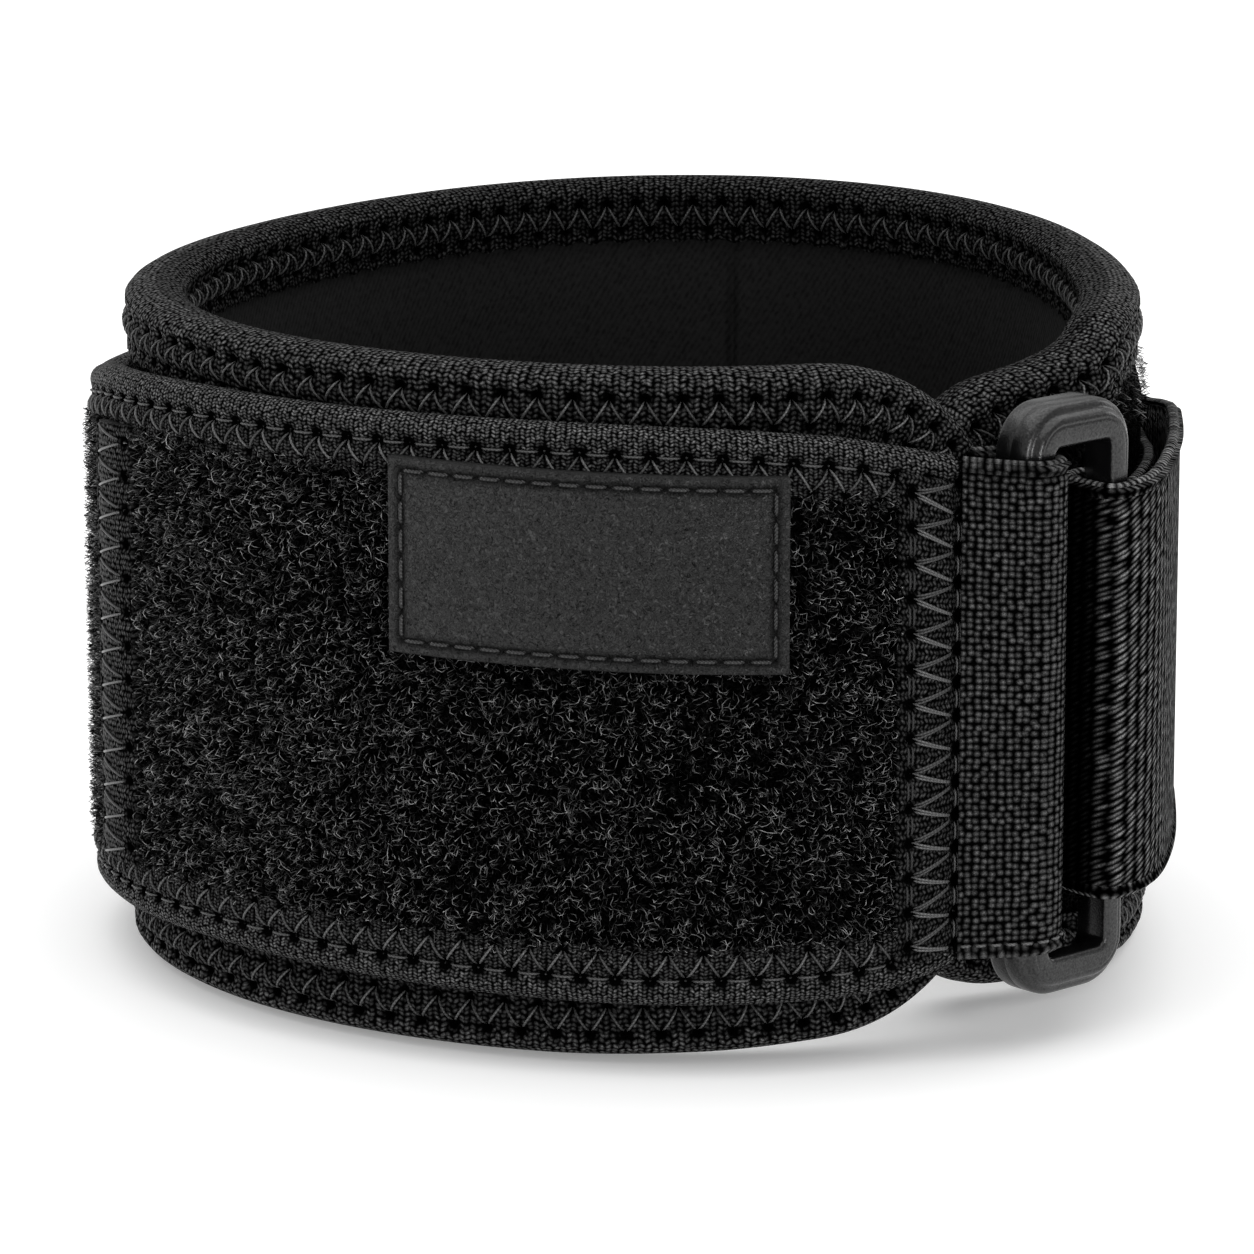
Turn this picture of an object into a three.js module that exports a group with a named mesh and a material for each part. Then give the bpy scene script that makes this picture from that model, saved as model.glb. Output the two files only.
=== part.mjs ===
import * as THREE from 'three';

// Neoprene wrist support, standing on its lower edge. A foam band with bound edges closes round the wrist,
// a pile-faced panel strap and a webbing pull strap meet at a plastic buckle at the front right.
// Millimetres, +Z up. An angle goes round the wrist in degrees: 0 right, 90 back, 180 left, 270 front.
// An offset is measured outwards from the middle of the band's wall.

// Plan of the band: the radius of its wall's middle, a circle drawn out to an egg-shaped oval
const PLAN = { mean: 37.93, oval: 1.81, ovalAt: 82.4, egg: 1.53, eggAt: 71.7 };

// Fineness: degrees between sections, bays in a rounded corner and along each strap
const STEP = 6;
const CORNER_STEPS = 6;
const TAB_BAYS = 28;
const PULL_BAYS = 110;

// Foam band: two rounded ends, the inner one narrowed and tucked behind the outer one.
// Between the bindings its pile-faced outside swells out.
const BAND_HEIGHT = 51.2;
const FOAM = 3.2;
const BULGE = { rise: 0.8, slope: 1.4, from: -24, full: -8, fade: 262, to: 284 };
const OUTER_END = { tip: 308.5, corner: 14.5 };
const INNER_END = { tip: -58, corner: 9, tuck: 5.6, tuckFrom: -28, tuckTo: -51 };
const BAND_EDGES = [
  { angle: -58, low: 0.9, high: 46.6 },
  { angle: -46, low: 1.1, high: 47.4 },
  { angle: -40, low: 1.1, high: 48.1 },
  { angle: -33, low: 1.1, high: 49.4 },
  { angle: -26, low: 0.8, high: 50.9 },
  { angle: -18, low: 0.1, high: BAND_HEIGHT },
  { angle: -10, low: 0, high: BAND_HEIGHT },
  { angle: 258, low: 0, high: BAND_HEIGHT },
  { angle: 276, low: 0.4, high: BAND_HEIGHT },
  { angle: 292, low: 1.2, high: BAND_HEIGHT },
  { angle: 308, low: 1.5, high: BAND_HEIGHT },
];

// Binding of the band: a folded tape with a flat crest, clear of the foam by SEAM_GAP
const SEAM_GAP = 0.3;
const BINDING = { outside: 2.45, inside: FOAM / 2 + SEAM_GAP, depth: 5, crest: 0.8, crestWall: 1 };

// A folded tape's rounding, in shares of its half width: where its flank ends, and its shoulder
const FOLD = { flank: 0.9, shoulder: 0.72, shoulderDrop: 0.32 };

// Panel strap: the offset of its inner face and its two long edges along its length
const PANEL = { rear: 77, end: 302, wall: 1.4 };
const PANEL_RUN = [
  { angle: 77, inner: 4.05, low: 3.2, high: 43 },
  { angle: 88, inner: 4.05, low: 3.2, high: 43 },
  { angle: 104, inner: 3.6, low: 3.2, high: 43 },
  { angle: 160, inner: 3.6, low: 3.4, high: 43 },
  { angle: 180, inner: 3.65, low: 4.1, high: 43.9 },
  { angle: 192, inner: 3.65, low: 4.8, high: 45.4 },
  { angle: 201, inner: 3.6, low: 5.2, high: 46.5 },
  { angle: 222, inner: 3.5, low: 5.7, high: 47.6 },
  { angle: 258, inner: 3.35, low: 5.2, high: 47.9 },
  { angle: 272, inner: 3.35, low: 5.0, high: 47.7 },
  { angle: 287, inner: 3.35, low: 5.1, high: 46.8 },
  { angle: 294, inner: 3.35, low: 5.6, high: 45.7 },
  { angle: 302, inner: 3.35, low: 6.9, high: 44.5 },
];
const PANEL_BINDING = { end: 299.7, cloth: 0.4, gap: 0.2, depth: 3.9, crest: 0.45, crestWall: 0.7 };

// Flat tapes and the label on the panel's face
const TAPE = { lift: 0.25, thick: 0.45 };
const SIDE_SEAM = { from: 198.4, to: 208.4 };
const END_SEAM = { from: 293.8, to: 299.6 };
const LABEL = {
  from: 245, to: 282.5, low: 30.65, high: 45.05, fall: 0.65, lift: 0.85, thick: 0.8, edge: 0.3,
};

// Buckle: a rectangular ring standing in a plane of its own, with a bar for each strap and wider ends
const BUCKLE = { x: 30.05, y: -33.87, turn: 42, width: 10.85, height: 44.2, middle: 25.8, corner: 3.7 };
const BUCKLE_WINDOW = { width: 5.75, height: 38.1, corner: 0.8 };
const BUCKLE_BAR = { wide: 2.55, thick: 4, edge: 0.9, cornerSteps: 5 };

// Buckle tab: 37 mm webbing looped round the left bar, measured along and out of the buckle's plane
const TAB = { thick: 1, low: 7.3, high: 44.8, foldDraw: 0.4 };
const TAB_FRONT = [
  { angle: 299.95, offset: 5.6 },
  { angle: 302.5, offset: 7.2 },
];
const TAB_LOOP = [
  { along: -5.1, out: 2.7 },
  { along: -3.7, out: 2.75 },
  { along: -2.72, out: 2.25 },
  { along: -2.35, out: 1 },
  { along: -2.35, out: -1 },
  { along: -2.72, out: -2.25 },
  { along: -3.7, out: -2.75 },
  { along: -4.9, out: -2.75 },
];
const TAB_BACK = [{ angle: 302.7, offset: 3.35 }];

// Pull strap: webbing from the back seam along the right side, through the buckle and back over itself.
// It falls a little towards the back.
const PULL = { thick: 1, endCorner: 5 };
const PULL_INNER = [
  { angle: -32, offset: 3.4 },
  { angle: -22, offset: 3.2 },
  { angle: -8, offset: 3.2 },
  { angle: 12, offset: 3.2 },
  { angle: 82, offset: 3.2 },
];
const PULL_LOOP = [
  { along: 5.2, out: -2.95 },
  { along: 3.7, out: -2.85 },
  { along: 2.68, out: -2.35 },
  { along: 2.3, out: -1 },
  { along: 2.3, out: 1 },
  { along: 2.6, out: 2.25 },
  { along: 3.4, out: 2.85 },
  { along: 4.4, out: 2.8 },
];
const PULL_OUTER = [
  { angle: -36, offset: 7.2 },
  { angle: -30, offset: 6.45 },
  { angle: -21, offset: 5.75 },
  { angle: -13, offset: 5 },
  { angle: -4, offset: 4.9 },
  { angle: 12, offset: 4.7 },
  { angle: 54, offset: 4.6 },
];
const PULL_EDGES = [
  { angle: -48, low: 10.35, high: 41.6 },
  { angle: -30, low: 10.4, high: 42 },
  { angle: -8, low: 10.8, high: 41.6 },
  { angle: 0, low: 10.6, high: 40.8 },
  { angle: 14, low: 10, high: 39.3 },
  { angle: 54, low: 8.6, high: 38.2 },
  { angle: 82, low: 7.8, high: 38.2 },
];

const radians = THREE.MathUtils.degToRad;
const smoothstep = THREE.MathUtils.smoothstep;

function planRadius(angle) {
  const oval = PLAN.oval * Math.cos(radians(2 * (angle - PLAN.ovalAt)));
  const egg = PLAN.egg * Math.cos(radians(3 * (angle - PLAN.eggAt)));
  return PLAN.mean + oval + egg;
}

// Millimetres along the wall for one degree
function arcPerDegree(angle) {
  return radians(planRadius(angle));
}

function wallPoint(angle, offset, z) {
  const radius = planRadius(angle) + offset;
  return new THREE.Vector3(radius * Math.cos(radians(angle)), radius * Math.sin(radians(angle)), z);
}

// A column of a table read at an angle, on a smooth curve that never passes beyond its rows
function readTable(rows, column, angle) {
  const last = rows.length - 1;
  if (angle <= rows[0].angle) return rows[0][column];
  if (angle >= rows[last].angle) return rows[last][column];
  const next = rows.findIndex((row) => row.angle > angle);
  const before = rows[next - 1];
  const after = rows[next];
  const rise = (index) => {
    const [here, there] = rows.slice(index, index + 2);
    return (there[column] - here[column]) / (there.angle - here.angle);
  };
  const slope = (index) => {
    if (index === 0 || index === last || rise(index - 1) * rise(index) <= 0) return 0;
    return (2 * rise(index - 1) * rise(index)) / (rise(index - 1) + rise(index));
  };
  const span = after.angle - before.angle;
  const t = (angle - before.angle) / span;
  const start = before[column] * (1 + 2 * t) * (1 - t) ** 2 + slope(next - 1) * span * t * (1 - t) ** 2;
  const end = after[column] * t * t * (3 - 2 * t) + slope(next) * span * t * t * (t - 1);
  return start + end;
}

function anglesBetween(from, to) {
  const count = Math.max(1, Math.round((to - from) / STEP));
  return Array.from({ length: count + 1 }, (_, index) => from + ((to - from) * index) / count);
}

// A closed solid through rings of points. Its end caps follow the section's own triangles,
// unless the rings close in a loop.
function loft(rings, section, isLoop = false) {
  const size = section.length;
  const positions = rings.flat().flatMap((point) => point.toArray());
  const faces = [];
  const bays = isLoop ? rings.length : rings.length - 1;
  for (let bay = 0; bay < bays; bay += 1) {
    const near = bay * size;
    const far = ((bay + 1) % rings.length) * size;
    for (let index = 0; index < size; index += 1) {
      const next = (index + 1) % size;
      faces.push([near + index, near + next, far + next], [near + index, far + next, far + index]);
    }
  }
  if (!isLoop) {
    const lastRing = (rings.length - 1) * size;
    for (const [a, b, c] of THREE.ShapeUtils.triangulateShape(section, [])) {
      faces.push([c, b, a], [lastRing + a, lastRing + b, lastRing + c]);
    }
  }
  const points = rings.flat();
  const volume = faces.reduce((sum, [a, b, c]) => sum + points[a].dot(points[b].clone().cross(points[c])), 0);
  const outward = volume > 0 ? faces : faces.map(([a, b, c]) => [a, c, b]);
  const geometry = new THREE.BufferGeometry();
  geometry.setAttribute('position', new THREE.Float32BufferAttribute(positions, 3));
  geometry.setIndex(outward.flat());
  geometry.computeVertexNormals();
  return geometry;
}

// A rectangle with its four corners cut at 45 degrees, counter-clockwise
function cutCorners(x0, x1, y0, y1, cut) {
  return [
    new THREE.Vector2(x0 + cut, y0), new THREE.Vector2(x1 - cut, y0),
    new THREE.Vector2(x1, y0 + cut), new THREE.Vector2(x1, y1 - cut),
    new THREE.Vector2(x1 - cut, y1), new THREE.Vector2(x0 + cut, y1),
    new THREE.Vector2(x0, y1 - cut), new THREE.Vector2(x0, y0 + cut),
  ];
}

const BAR_SECTION = [
  new THREE.Vector2(0, 0), new THREE.Vector2(1, 0), new THREE.Vector2(1, 1), new THREE.Vector2(0, 1),
];

// The band's two ends
function bandOffset(angle) {
  return -INNER_END.tuck * (1 - smoothstep(angle, INNER_END.tuckTo, INNER_END.tuckFrom));
}

function cornerDrop(distance, radius) {
  if (distance >= radius) return 0;
  return radius - Math.sqrt(radius ** 2 - (radius - Math.max(distance, 0)) ** 2);
}

// Lower and upper edge of the band at an angle, drawn in by an inset
function bandEdges(angle, inset) {
  const toOuterTip = (OUTER_END.tip - angle) * arcPerDegree(angle) - inset;
  const toInnerTip = (angle - INNER_END.tip) * arcPerDegree(angle) - inset;
  const outerDrop = cornerDrop(toOuterTip, OUTER_END.corner - inset);
  const innerDrop = cornerDrop(toInnerTip, INNER_END.corner - inset);
  const drop = inset + outerDrop + innerDrop;
  return {
    low: readTable(BAND_EDGES, 'low', angle) + drop,
    high: readTable(BAND_EDGES, 'high', angle) - drop,
  };
}

// Angles along the band, closer together in the rounded ends
function bandAngles(inset) {
  const cornerAngles = (end, side) => Array.from({ length: CORNER_STEPS }, (_, index) => {
    const turn = (index / CORNER_STEPS) * (Math.PI / 2);
    const distance = inset + (end.corner - inset) * (1 - Math.cos(turn));
    return end.tip + (side * distance) / arcPerDegree(end.tip);
  });
  const inner = cornerAngles(INNER_END, 1);
  const outer = cornerAngles(OUTER_END, -1).reverse();
  const innerMain = INNER_END.tip + INNER_END.corner / arcPerDegree(INNER_END.tip);
  const outerMain = OUTER_END.tip - OUTER_END.corner / arcPerDegree(OUTER_END.tip);
  return [...inner, ...anglesBetween(innerMain, outerMain), ...outer];
}

// How far the outside swells at an angle: nothing at the two ends
function bandBulge(angle) {
  const ending = 1 - smoothstep(angle, BULGE.fade, BULGE.to);
  return BULGE.rise * smoothstep(angle, BULGE.from, BULGE.full) * ending;
}

// The foam's section at an angle: across the wall, and up
function foamSection(angle) {
  const inset = BINDING.crestWall + SEAM_GAP;
  const { low, high } = bandEdges(angle, inset);
  const side = FOAM / 2;
  const swell = side + bandBulge(angle);
  const flank = BINDING.depth - BINDING.crestWall;
  const crown = flank + BULGE.slope;
  const outline = [
    [-side, low], [side, low], [side, low + flank], [swell, low + crown],
    [swell, high - crown], [side, high - flank], [side, high], [-side, high],
  ];
  return outline.map(([across, z]) => new THREE.Vector2(across, z));
}

function foamBand() {
  const angles = bandAngles(BINDING.crestWall + SEAM_GAP);
  const rings = angles.map((angle) => (
    foamSection(angle).map(({ x: across, y: z }) => wallPoint(angle, bandOffset(angle) + across, z))
  ));
  return loft(rings, foamSection(BULGE.fade));
}

// A folded tape's section: across the wall, and out of the edge
function foldedTape({ outside, inside, depth, crest, crestWall }) {
  const flank = -FOLD.flank * outside;
  const shoulder = [FOLD.shoulder * outside, -FOLD.shoulderDrop * outside];
  const side = [[outside, -depth], [outside, flank], shoulder, [crest, 0]];
  const otherSide = side.map(([across, out]) => [-across, out]).reverse();
  const inner = [[-inside, -depth], [-inside, -crestWall], [inside, -crestWall], [inside, -depth]];
  return [...side, ...otherSide, ...inner].map(([across, out]) => new THREE.Vector2(across, out));
}

// The tape follows the band's outline, and its section leans square to that outline
function bandBinding() {
  const angles = bandAngles(0);
  const lower = angles.map((angle) => ({ angle, z: bandEdges(angle, 0).low }));
  const upper = angles.map((angle) => ({ angle, z: bandEdges(angle, 0).high })).reverse();
  const outline = [...lower, ...upper];
  const section = foldedTape(BINDING);
  const heading = (from, to) => {
    const along = (to.angle - from.angle) * arcPerDegree(from.angle);
    return new THREE.Vector2(along, to.z - from.z).normalize();
  };
  const rings = outline.map((spot, index) => {
    const before = outline[(index + outline.length - 1) % outline.length];
    const after = outline[(index + 1) % outline.length];
    const direction = heading(before, spot).add(heading(spot, after)).normalize();
    return section.map(({ x: across, y: out }) => {
      const angle = spot.angle + (out * direction.y) / arcPerDegree(spot.angle);
      return wallPoint(angle, bandOffset(angle) + across, spot.z - out * direction.x);
    });
  });
  return loft(rings, section, true);
}

const panelInner = (angle) => readTable(PANEL_RUN, 'inner', angle);
const panelOuter = (angle) => panelInner(angle) + PANEL.wall;
const panelLow = (angle) => readTable(PANEL_RUN, 'low', angle);
const panelHigh = (angle) => readTable(PANEL_RUN, 'high', angle);

function loopPanel() {
  const inset = PANEL_BINDING.crestWall + PANEL_BINDING.gap;
  const rings = anglesBetween(PANEL.rear, PANEL.end).map((angle) => [
    wallPoint(angle, panelInner(angle), panelLow(angle) + inset),
    wallPoint(angle, panelOuter(angle), panelLow(angle) + inset),
    wallPoint(angle, panelOuter(angle), panelHigh(angle) - inset),
    wallPoint(angle, panelInner(angle), panelHigh(angle) - inset),
  ]);
  return loft(rings, BAR_SECTION);
}

// Folded tape along one long edge of the panel: side is 1 at the top and -1 at the bottom
function panelBinding(side) {
  const inside = PANEL.wall / 2 + PANEL_BINDING.gap;
  const section = foldedTape({ ...PANEL_BINDING, inside, outside: inside + PANEL_BINDING.cloth });
  const edge = side > 0 ? panelHigh : panelLow;
  const rings = anglesBetween(PANEL.rear, PANEL_BINDING.end).map((angle) => {
    const middle = panelInner(angle) + PANEL.wall / 2;
    const turned = section.map(({ x: across, y: out }) => ({ offset: middle + across, up: side * out }));
    return turned.map(({ offset, up }) => wallPoint(angle, offset, edge(angle) + up));
  });
  return loft(rings, section);
}

// A tape laid on the panel's face between its two bindings
function faceTape({ from, to }) {
  const inset = PANEL_BINDING.depth + SEAM_GAP;
  const rings = anglesBetween(from, to).map((angle) => {
    const under = panelOuter(angle) + TAPE.lift;
    const low = panelLow(angle) + inset;
    const high = panelHigh(angle) - inset;
    return [
      wallPoint(angle, under, low), wallPoint(angle, under + TAPE.thick, low),
      wallPoint(angle, under + TAPE.thick, high), wallPoint(angle, under, high),
    ];
  });
  return loft(rings, BAR_SECTION);
}

// The label lies on the pile, with its right side a little lower than its left
function labelPatch() {
  const rings = anglesBetween(LABEL.from, LABEL.to).map((angle) => {
    const fall = (LABEL.fall * (angle - LABEL.from)) / (LABEL.to - LABEL.from);
    const under = panelOuter(angle) + LABEL.lift;
    const section = cutCorners(under, under + LABEL.thick, LABEL.low - fall, LABEL.high - fall, LABEL.edge);
    return section.map(({ x: offset, y: z }) => wallPoint(angle, offset, z));
  });
  return loft(rings, cutCorners(0, LABEL.thick, LABEL.low, LABEL.high, LABEL.edge));
}

// A point on the floor of the buckle's frame: along its width and out of its plane
function bucklePoint(along, out) {
  const turn = radians(BUCKLE.turn);
  const x = BUCKLE.x + along * Math.cos(turn) + out * Math.sin(turn);
  const y = BUCKLE.y + along * Math.sin(turn) - out * Math.cos(turn);
  return new THREE.Vector3(x, y, 0);
}

// A point on one rounded corner of a rectangle: along and up from its middle
function roundedCorner({ width, height, corner }, { right, upper }, turn) {
  const along = right * (width / 2 - corner) + corner * Math.cos(turn);
  return new THREE.Vector2(along, upper * (height / 2 - corner) + corner * Math.sin(turn));
}

// The ring lies between the outline of its window and its outside
function strapBuckle() {
  const { wide, thick, edge, cornerSteps } = BUCKLE_BAR;
  const quarters = [
    { right: 1, upper: 1, start: 0 },
    { right: -1, upper: 1, start: 90 },
    { right: -1, upper: -1, start: 180 },
    { right: 1, upper: -1, start: 270 },
  ];
  const section = cutCorners(-wide / 2, wide / 2, -thick / 2, thick / 2, edge);
  const rings = quarters.flatMap((quarter) => (
    Array.from({ length: cornerSteps + 1 }, (_, index) => {
      const turn = radians(quarter.start + (90 * index) / cornerSteps);
      return section.map(({ x: outward, y: out }) => {
        const inner = roundedCorner(BUCKLE_WINDOW, quarter, turn);
        const spot = inner.lerp(roundedCorner(BUCKLE, quarter, turn), outward / wide + 0.5);
        return bucklePoint(spot.x, out).setZ(BUCKLE.middle + spot.y);
      });
    })
  ));
  return loft(rings, section, true);
}

// A flat strap along a route on the floor plan. Its lower and upper edge come from the share of its length,
// the whole length and the point on the plan.
function strapAlong(route, count, thick, edgesAt) {
  const curve = new THREE.CatmullRomCurve3(route, false, 'centripetal');
  const rings = Array.from({ length: count + 1 }, (_, index) => {
    const share = index / count;
    const middle = curve.getPointAt(share);
    const tangent = curve.getTangentAt(share);
    const across = new THREE.Vector3(tangent.y, -tangent.x, 0).multiplyScalar(thick / 2);
    const { low, high } = edgesAt(share, curve.getLength(), middle);
    const one = middle.clone().add(across);
    const other = middle.clone().sub(across);
    return [one.clone().setZ(low), other.clone().setZ(low), other.clone().setZ(high), one.clone().setZ(high)];
  });
  return loft(rings, BAR_SECTION);
}

function buckleTab() {
  const onWall = ({ angle, offset }) => wallPoint(angle, offset, 0);
  const onBuckle = ({ along, out }) => bucklePoint(along, out);
  const route = [...TAB_FRONT.map(onWall), ...TAB_LOOP.map(onBuckle), ...TAB_BACK.map(onWall)];
  return strapAlong(route, TAB_BAYS, TAB.thick, (share) => {
    const drawn = TAB.foldDraw * Math.sin(Math.PI * share);
    return { low: TAB.low + drawn, high: TAB.high - drawn };
  });
}

// Points on the floor plan that follow the wall at a table's offsets, in rising angle
function wallRoute(rows) {
  const angles = anglesBetween(rows[0].angle, rows[rows.length - 1].angle);
  return angles.map((angle) => wallPoint(angle, readTable(rows, 'offset', angle), 0));
}

function pullStrap() {
  const route = [
    ...wallRoute(PULL_INNER).reverse(),
    ...PULL_LOOP.map(({ along, out }) => bucklePoint(along, out)),
    ...wallRoute(PULL_OUTER),
  ];
  return strapAlong(route, PULL_BAYS, PULL.thick, (share, length, middle) => {
    const drop = cornerDrop((1 - share) * length, PULL.endCorner);
    const angle = THREE.MathUtils.radToDeg(Math.atan2(middle.y, middle.x));
    const low = readTable(PULL_EDGES, 'low', angle) + drop;
    return { low, high: readTable(PULL_EDGES, 'high', angle) - drop };
  });
}

const support = new THREE.Group();

function addPiece(name, geometry, color, roughness) {
  const material = new THREE.MeshStandardMaterial({ color, roughness, metalness: 0 });
  const piece = new THREE.Mesh(geometry, material);
  piece.name = name;
  support.add(piece);
}

addPiece('neoprene_band', foamBand(), '#151515', 0.95);
addPiece('band_binding', bandBinding(), '#262626', 0.9);
addPiece('loop_panel', loopPanel(), '#121212', 0.95);
addPiece('panel_binding_top', panelBinding(1), '#2a2a2a', 0.9);
addPiece('panel_binding_bottom', panelBinding(-1), '#2a2a2a', 0.9);
addPiece('side_seam_tape', faceTape(SIDE_SEAM), '#2a2a2a', 0.9);
addPiece('end_seam_tape', faceTape(END_SEAM), '#2a2a2a', 0.9);
addPiece('label_patch', labelPatch(), '#2b2b2b', 0.65);
addPiece('buckle_tab', buckleTab(), '#2c2c2c', 0.85);
addPiece('strap_buckle', strapBuckle(), '#444444', 0.5);
addPiece('pull_strap', pullStrap(), '#2c2c2c', 0.85);

// The origin is the middle of the whole support's footprint, on the floor
const footprint = new THREE.Box3().setFromObject(support).getCenter(new THREE.Vector3());
support.position.set(-footprint.x, -footprint.y, 0);

export default support;
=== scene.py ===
from collections import namedtuple

import bmesh
import bpy
import numpy as np
from mathutils import Matrix, Vector


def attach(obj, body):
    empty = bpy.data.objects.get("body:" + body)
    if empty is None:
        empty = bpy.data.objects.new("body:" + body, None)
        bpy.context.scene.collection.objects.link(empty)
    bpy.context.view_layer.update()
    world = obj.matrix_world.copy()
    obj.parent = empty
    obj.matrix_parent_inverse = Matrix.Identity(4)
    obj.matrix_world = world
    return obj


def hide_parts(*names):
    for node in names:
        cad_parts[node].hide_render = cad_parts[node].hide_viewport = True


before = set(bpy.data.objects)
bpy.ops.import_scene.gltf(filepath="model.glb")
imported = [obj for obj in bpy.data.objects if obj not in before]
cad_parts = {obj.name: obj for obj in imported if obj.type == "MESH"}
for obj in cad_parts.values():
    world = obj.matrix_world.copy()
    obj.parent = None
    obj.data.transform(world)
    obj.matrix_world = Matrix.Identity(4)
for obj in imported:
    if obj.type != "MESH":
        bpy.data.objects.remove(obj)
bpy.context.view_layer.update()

# Neoprene band: foam rubber between a smooth knit lining and a face of loop pile, cut as one strip with
# rounded ends and bent to an open ring, its inner end tucked behind the outer one. Sizes here are in
# millimetres. An angle goes round the wrist in degrees: 0 right, 90 back, 180 left, 270 front.
MM = 0.001
CENTRE = (1.40247, -0.73918)
WALL_RADIUS = 37.93
OVAL_SWELL = 1.81
OVAL_ANGLE = 82.4
EGG_SWELL = 1.53
EGG_ANGLE = 71.7
FOAM_HALF = 1.6
FOAM_INSET = 1.3
OUTER_TIP = 308.5
OUTER_CORNER = 14.5
INNER_TIP = -58
INNER_CORNER = 9
# Angle, lower edge, upper edge
BAND_EDGES = [
    (-58, 0.9, 46.6), (-46, 1.1, 47.4), (-40, 1.1, 48.1), (-33, 1.1, 49.4), (-26, 0.8, 50.9),
    (-18, 0.1, 51.2), (-10, 0, 51.2), (258, 0, 51.2), (276, 0.4, 51.2), (292, 1.2, 51.2), (308, 1.5, 51.2),
]


def smooth(value, start, end):
    share = np.clip((value - start) / (end - start), 0, 1)
    return share * share * (3 - 2 * share)


def wall(angle, offset, z):
    """Points beside the wall: the offset is measured outwards from the wall's middle."""
    oval = OVAL_SWELL * np.cos(np.radians(2 * (angle - OVAL_ANGLE)))
    egg = EGG_SWELL * np.cos(np.radians(3 * (angle - EGG_ANGLE)))
    reach = WALL_RADIUS + oval + egg + offset
    turn = np.radians(angle)
    x = CENTRE[0] + reach * np.cos(turn)
    y = CENTRE[1] + reach * np.sin(turn)
    return np.stack(np.broadcast_arrays(x, y, z), axis=-1)


def read_table(rows, angle):
    """The columns of a table at some angles, on smooth curves that stay within its rows."""
    rows = np.array(rows, float)
    at = rows[:, 0]
    values = rows[:, 1:]
    rise = np.diff(values, axis=0) / np.diff(at)[:, None]
    product = rise[:-1] * rise[1:]
    together = np.where(product > 0, rise[:-1] + rise[1:], 1)
    slope = np.zeros_like(values)
    slope[1:-1] = np.where(product > 0, 2 * product / together, 0)
    angle = np.clip(angle, at[0], at[-1])
    bay = np.clip(np.searchsorted(at, angle, side="right") - 1, 0, len(at) - 2)
    span = (at[bay + 1] - at[bay])[..., None]
    t = (angle - at[bay])[..., None] / span
    start = values[bay] * (1 + 2 * t) * (1 - t) ** 2 + slope[bay] * span * t * (1 - t) ** 2
    end = values[bay + 1] * t * t * (3 - 2 * t) + slope[bay + 1] * span * t * t * (t - 1)
    return np.moveaxis(start + end, -1, 0)


def band_offset(angle):
    return -5.6 * (1 - smooth(angle, -51, -28))


def band_flare(angle, z):
    """How far the band's lower edge stands out at the right, under the pull strap."""
    return 1.2 * np.exp(-((angle + 2) / 12) ** 2) * (1 - smooth(z, 3, 9))


def band_bulge(angle, inside):
    """How far the band's outer face swells out between the two bound edges, away from its outer tip."""
    return 1.0 * smooth(angle, -24, -8) * (1 - smooth(angle, 262, 284)) * smooth(inside, 3.5, 5.6)


def corner_drop(distance, radius):
    away = np.clip(radius - distance, 0, radius)
    return radius - np.sqrt(radius ** 2 - away ** 2)


def lengths_along(points):
    """Distances along a line of points, from its start."""
    steps = np.linalg.norm(np.diff(points, axis=0), axis=1)
    return np.concatenate([[0], np.cumsum(steps)])


def lay_cloth(mesh, cloth, *painted_shade_and_tone):
    """Gives every vertex its cloth coordinates and how dark the cloth is drawn there: painted shade, and on
    fibres a random tone with painted glints.
    """
    corners = np.empty(len(mesh.loops), int)
    mesh.loops.foreach_get("vertex_index", corners)
    mesh.uv_layers.new(name="cloth").data.foreach_set("uv", cloth[corners].ravel())
    for shade in painted_shade_and_tone:
        mesh.attributes.new("painted_shade_and_tone", "FLOAT", "POINT").data.foreach_set("value", shade)
    return corners


def show(name, data):
    thing = bpy.data.objects.new(name, data)
    bpy.context.scene.collection.objects.link(thing)
    return thing


def sweep(name, stations, ring, place, closed=False, skin=None):
    """A closed skin bent from a grid: stations along it, and spots round its section.
    place gives every vertex its point, its cloth coordinates and how dark painted shade makes the cloth
    there.
    skin gives each strip of the section its material."""
    bays = stations if closed else stations - 1
    bm = bmesh.new()
    bmesh.ops.create_grid(bm, x_segments=bays, y_segments=ring, size=0.5)
    mesh = bpy.data.meshes.new(name)
    bm.to_mesh(mesh)
    grid = np.empty(len(mesh.vertices) * 3)
    mesh.vertices.foreach_get("co", grid)
    grid = grid.reshape(-1, 3) + 0.5
    station = np.rint(grid[:, 0] * bays).astype(int)
    spot = np.rint(grid[:, 1] * ring).astype(int)
    points, cloth, *painted_shade_and_tone = place(station, spot)
    mesh.vertices.foreach_set("co", (points * MM).ravel())
    corners = lay_cloth(mesh, cloth, *painted_shade_and_tone)
    if skin is not None:
        strip = spot[corners].reshape(-1, 4).min(axis=1)
        mesh.polygons.foreach_set("material_index", np.array(skin)[strip])
    bm.clear()
    bm.from_mesh(mesh)
    bmesh.ops.remove_doubles(bm, verts=bm.verts, dist=1e-7)
    rim = [edge for edge in bm.edges if edge.is_boundary]
    bmesh.ops.holes_fill(bm, edges=rim, sides=0)
    bmesh.ops.recalc_face_normals(bm, faces=bm.faces)
    bm.to_mesh(mesh)
    bm.free()
    mesh.shade_smooth()
    return show(name, mesh)


def linear(colour):
    """A #rrggbb colour in linear light."""
    shares = [int(colour[at:at + 2], 16) / 255 for at in (1, 3, 5)]
    return [share / 12.92 if share <= 0.04045 else ((share + 0.055) / 1.055) ** 2.4 for share in shares] + [1]


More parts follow.
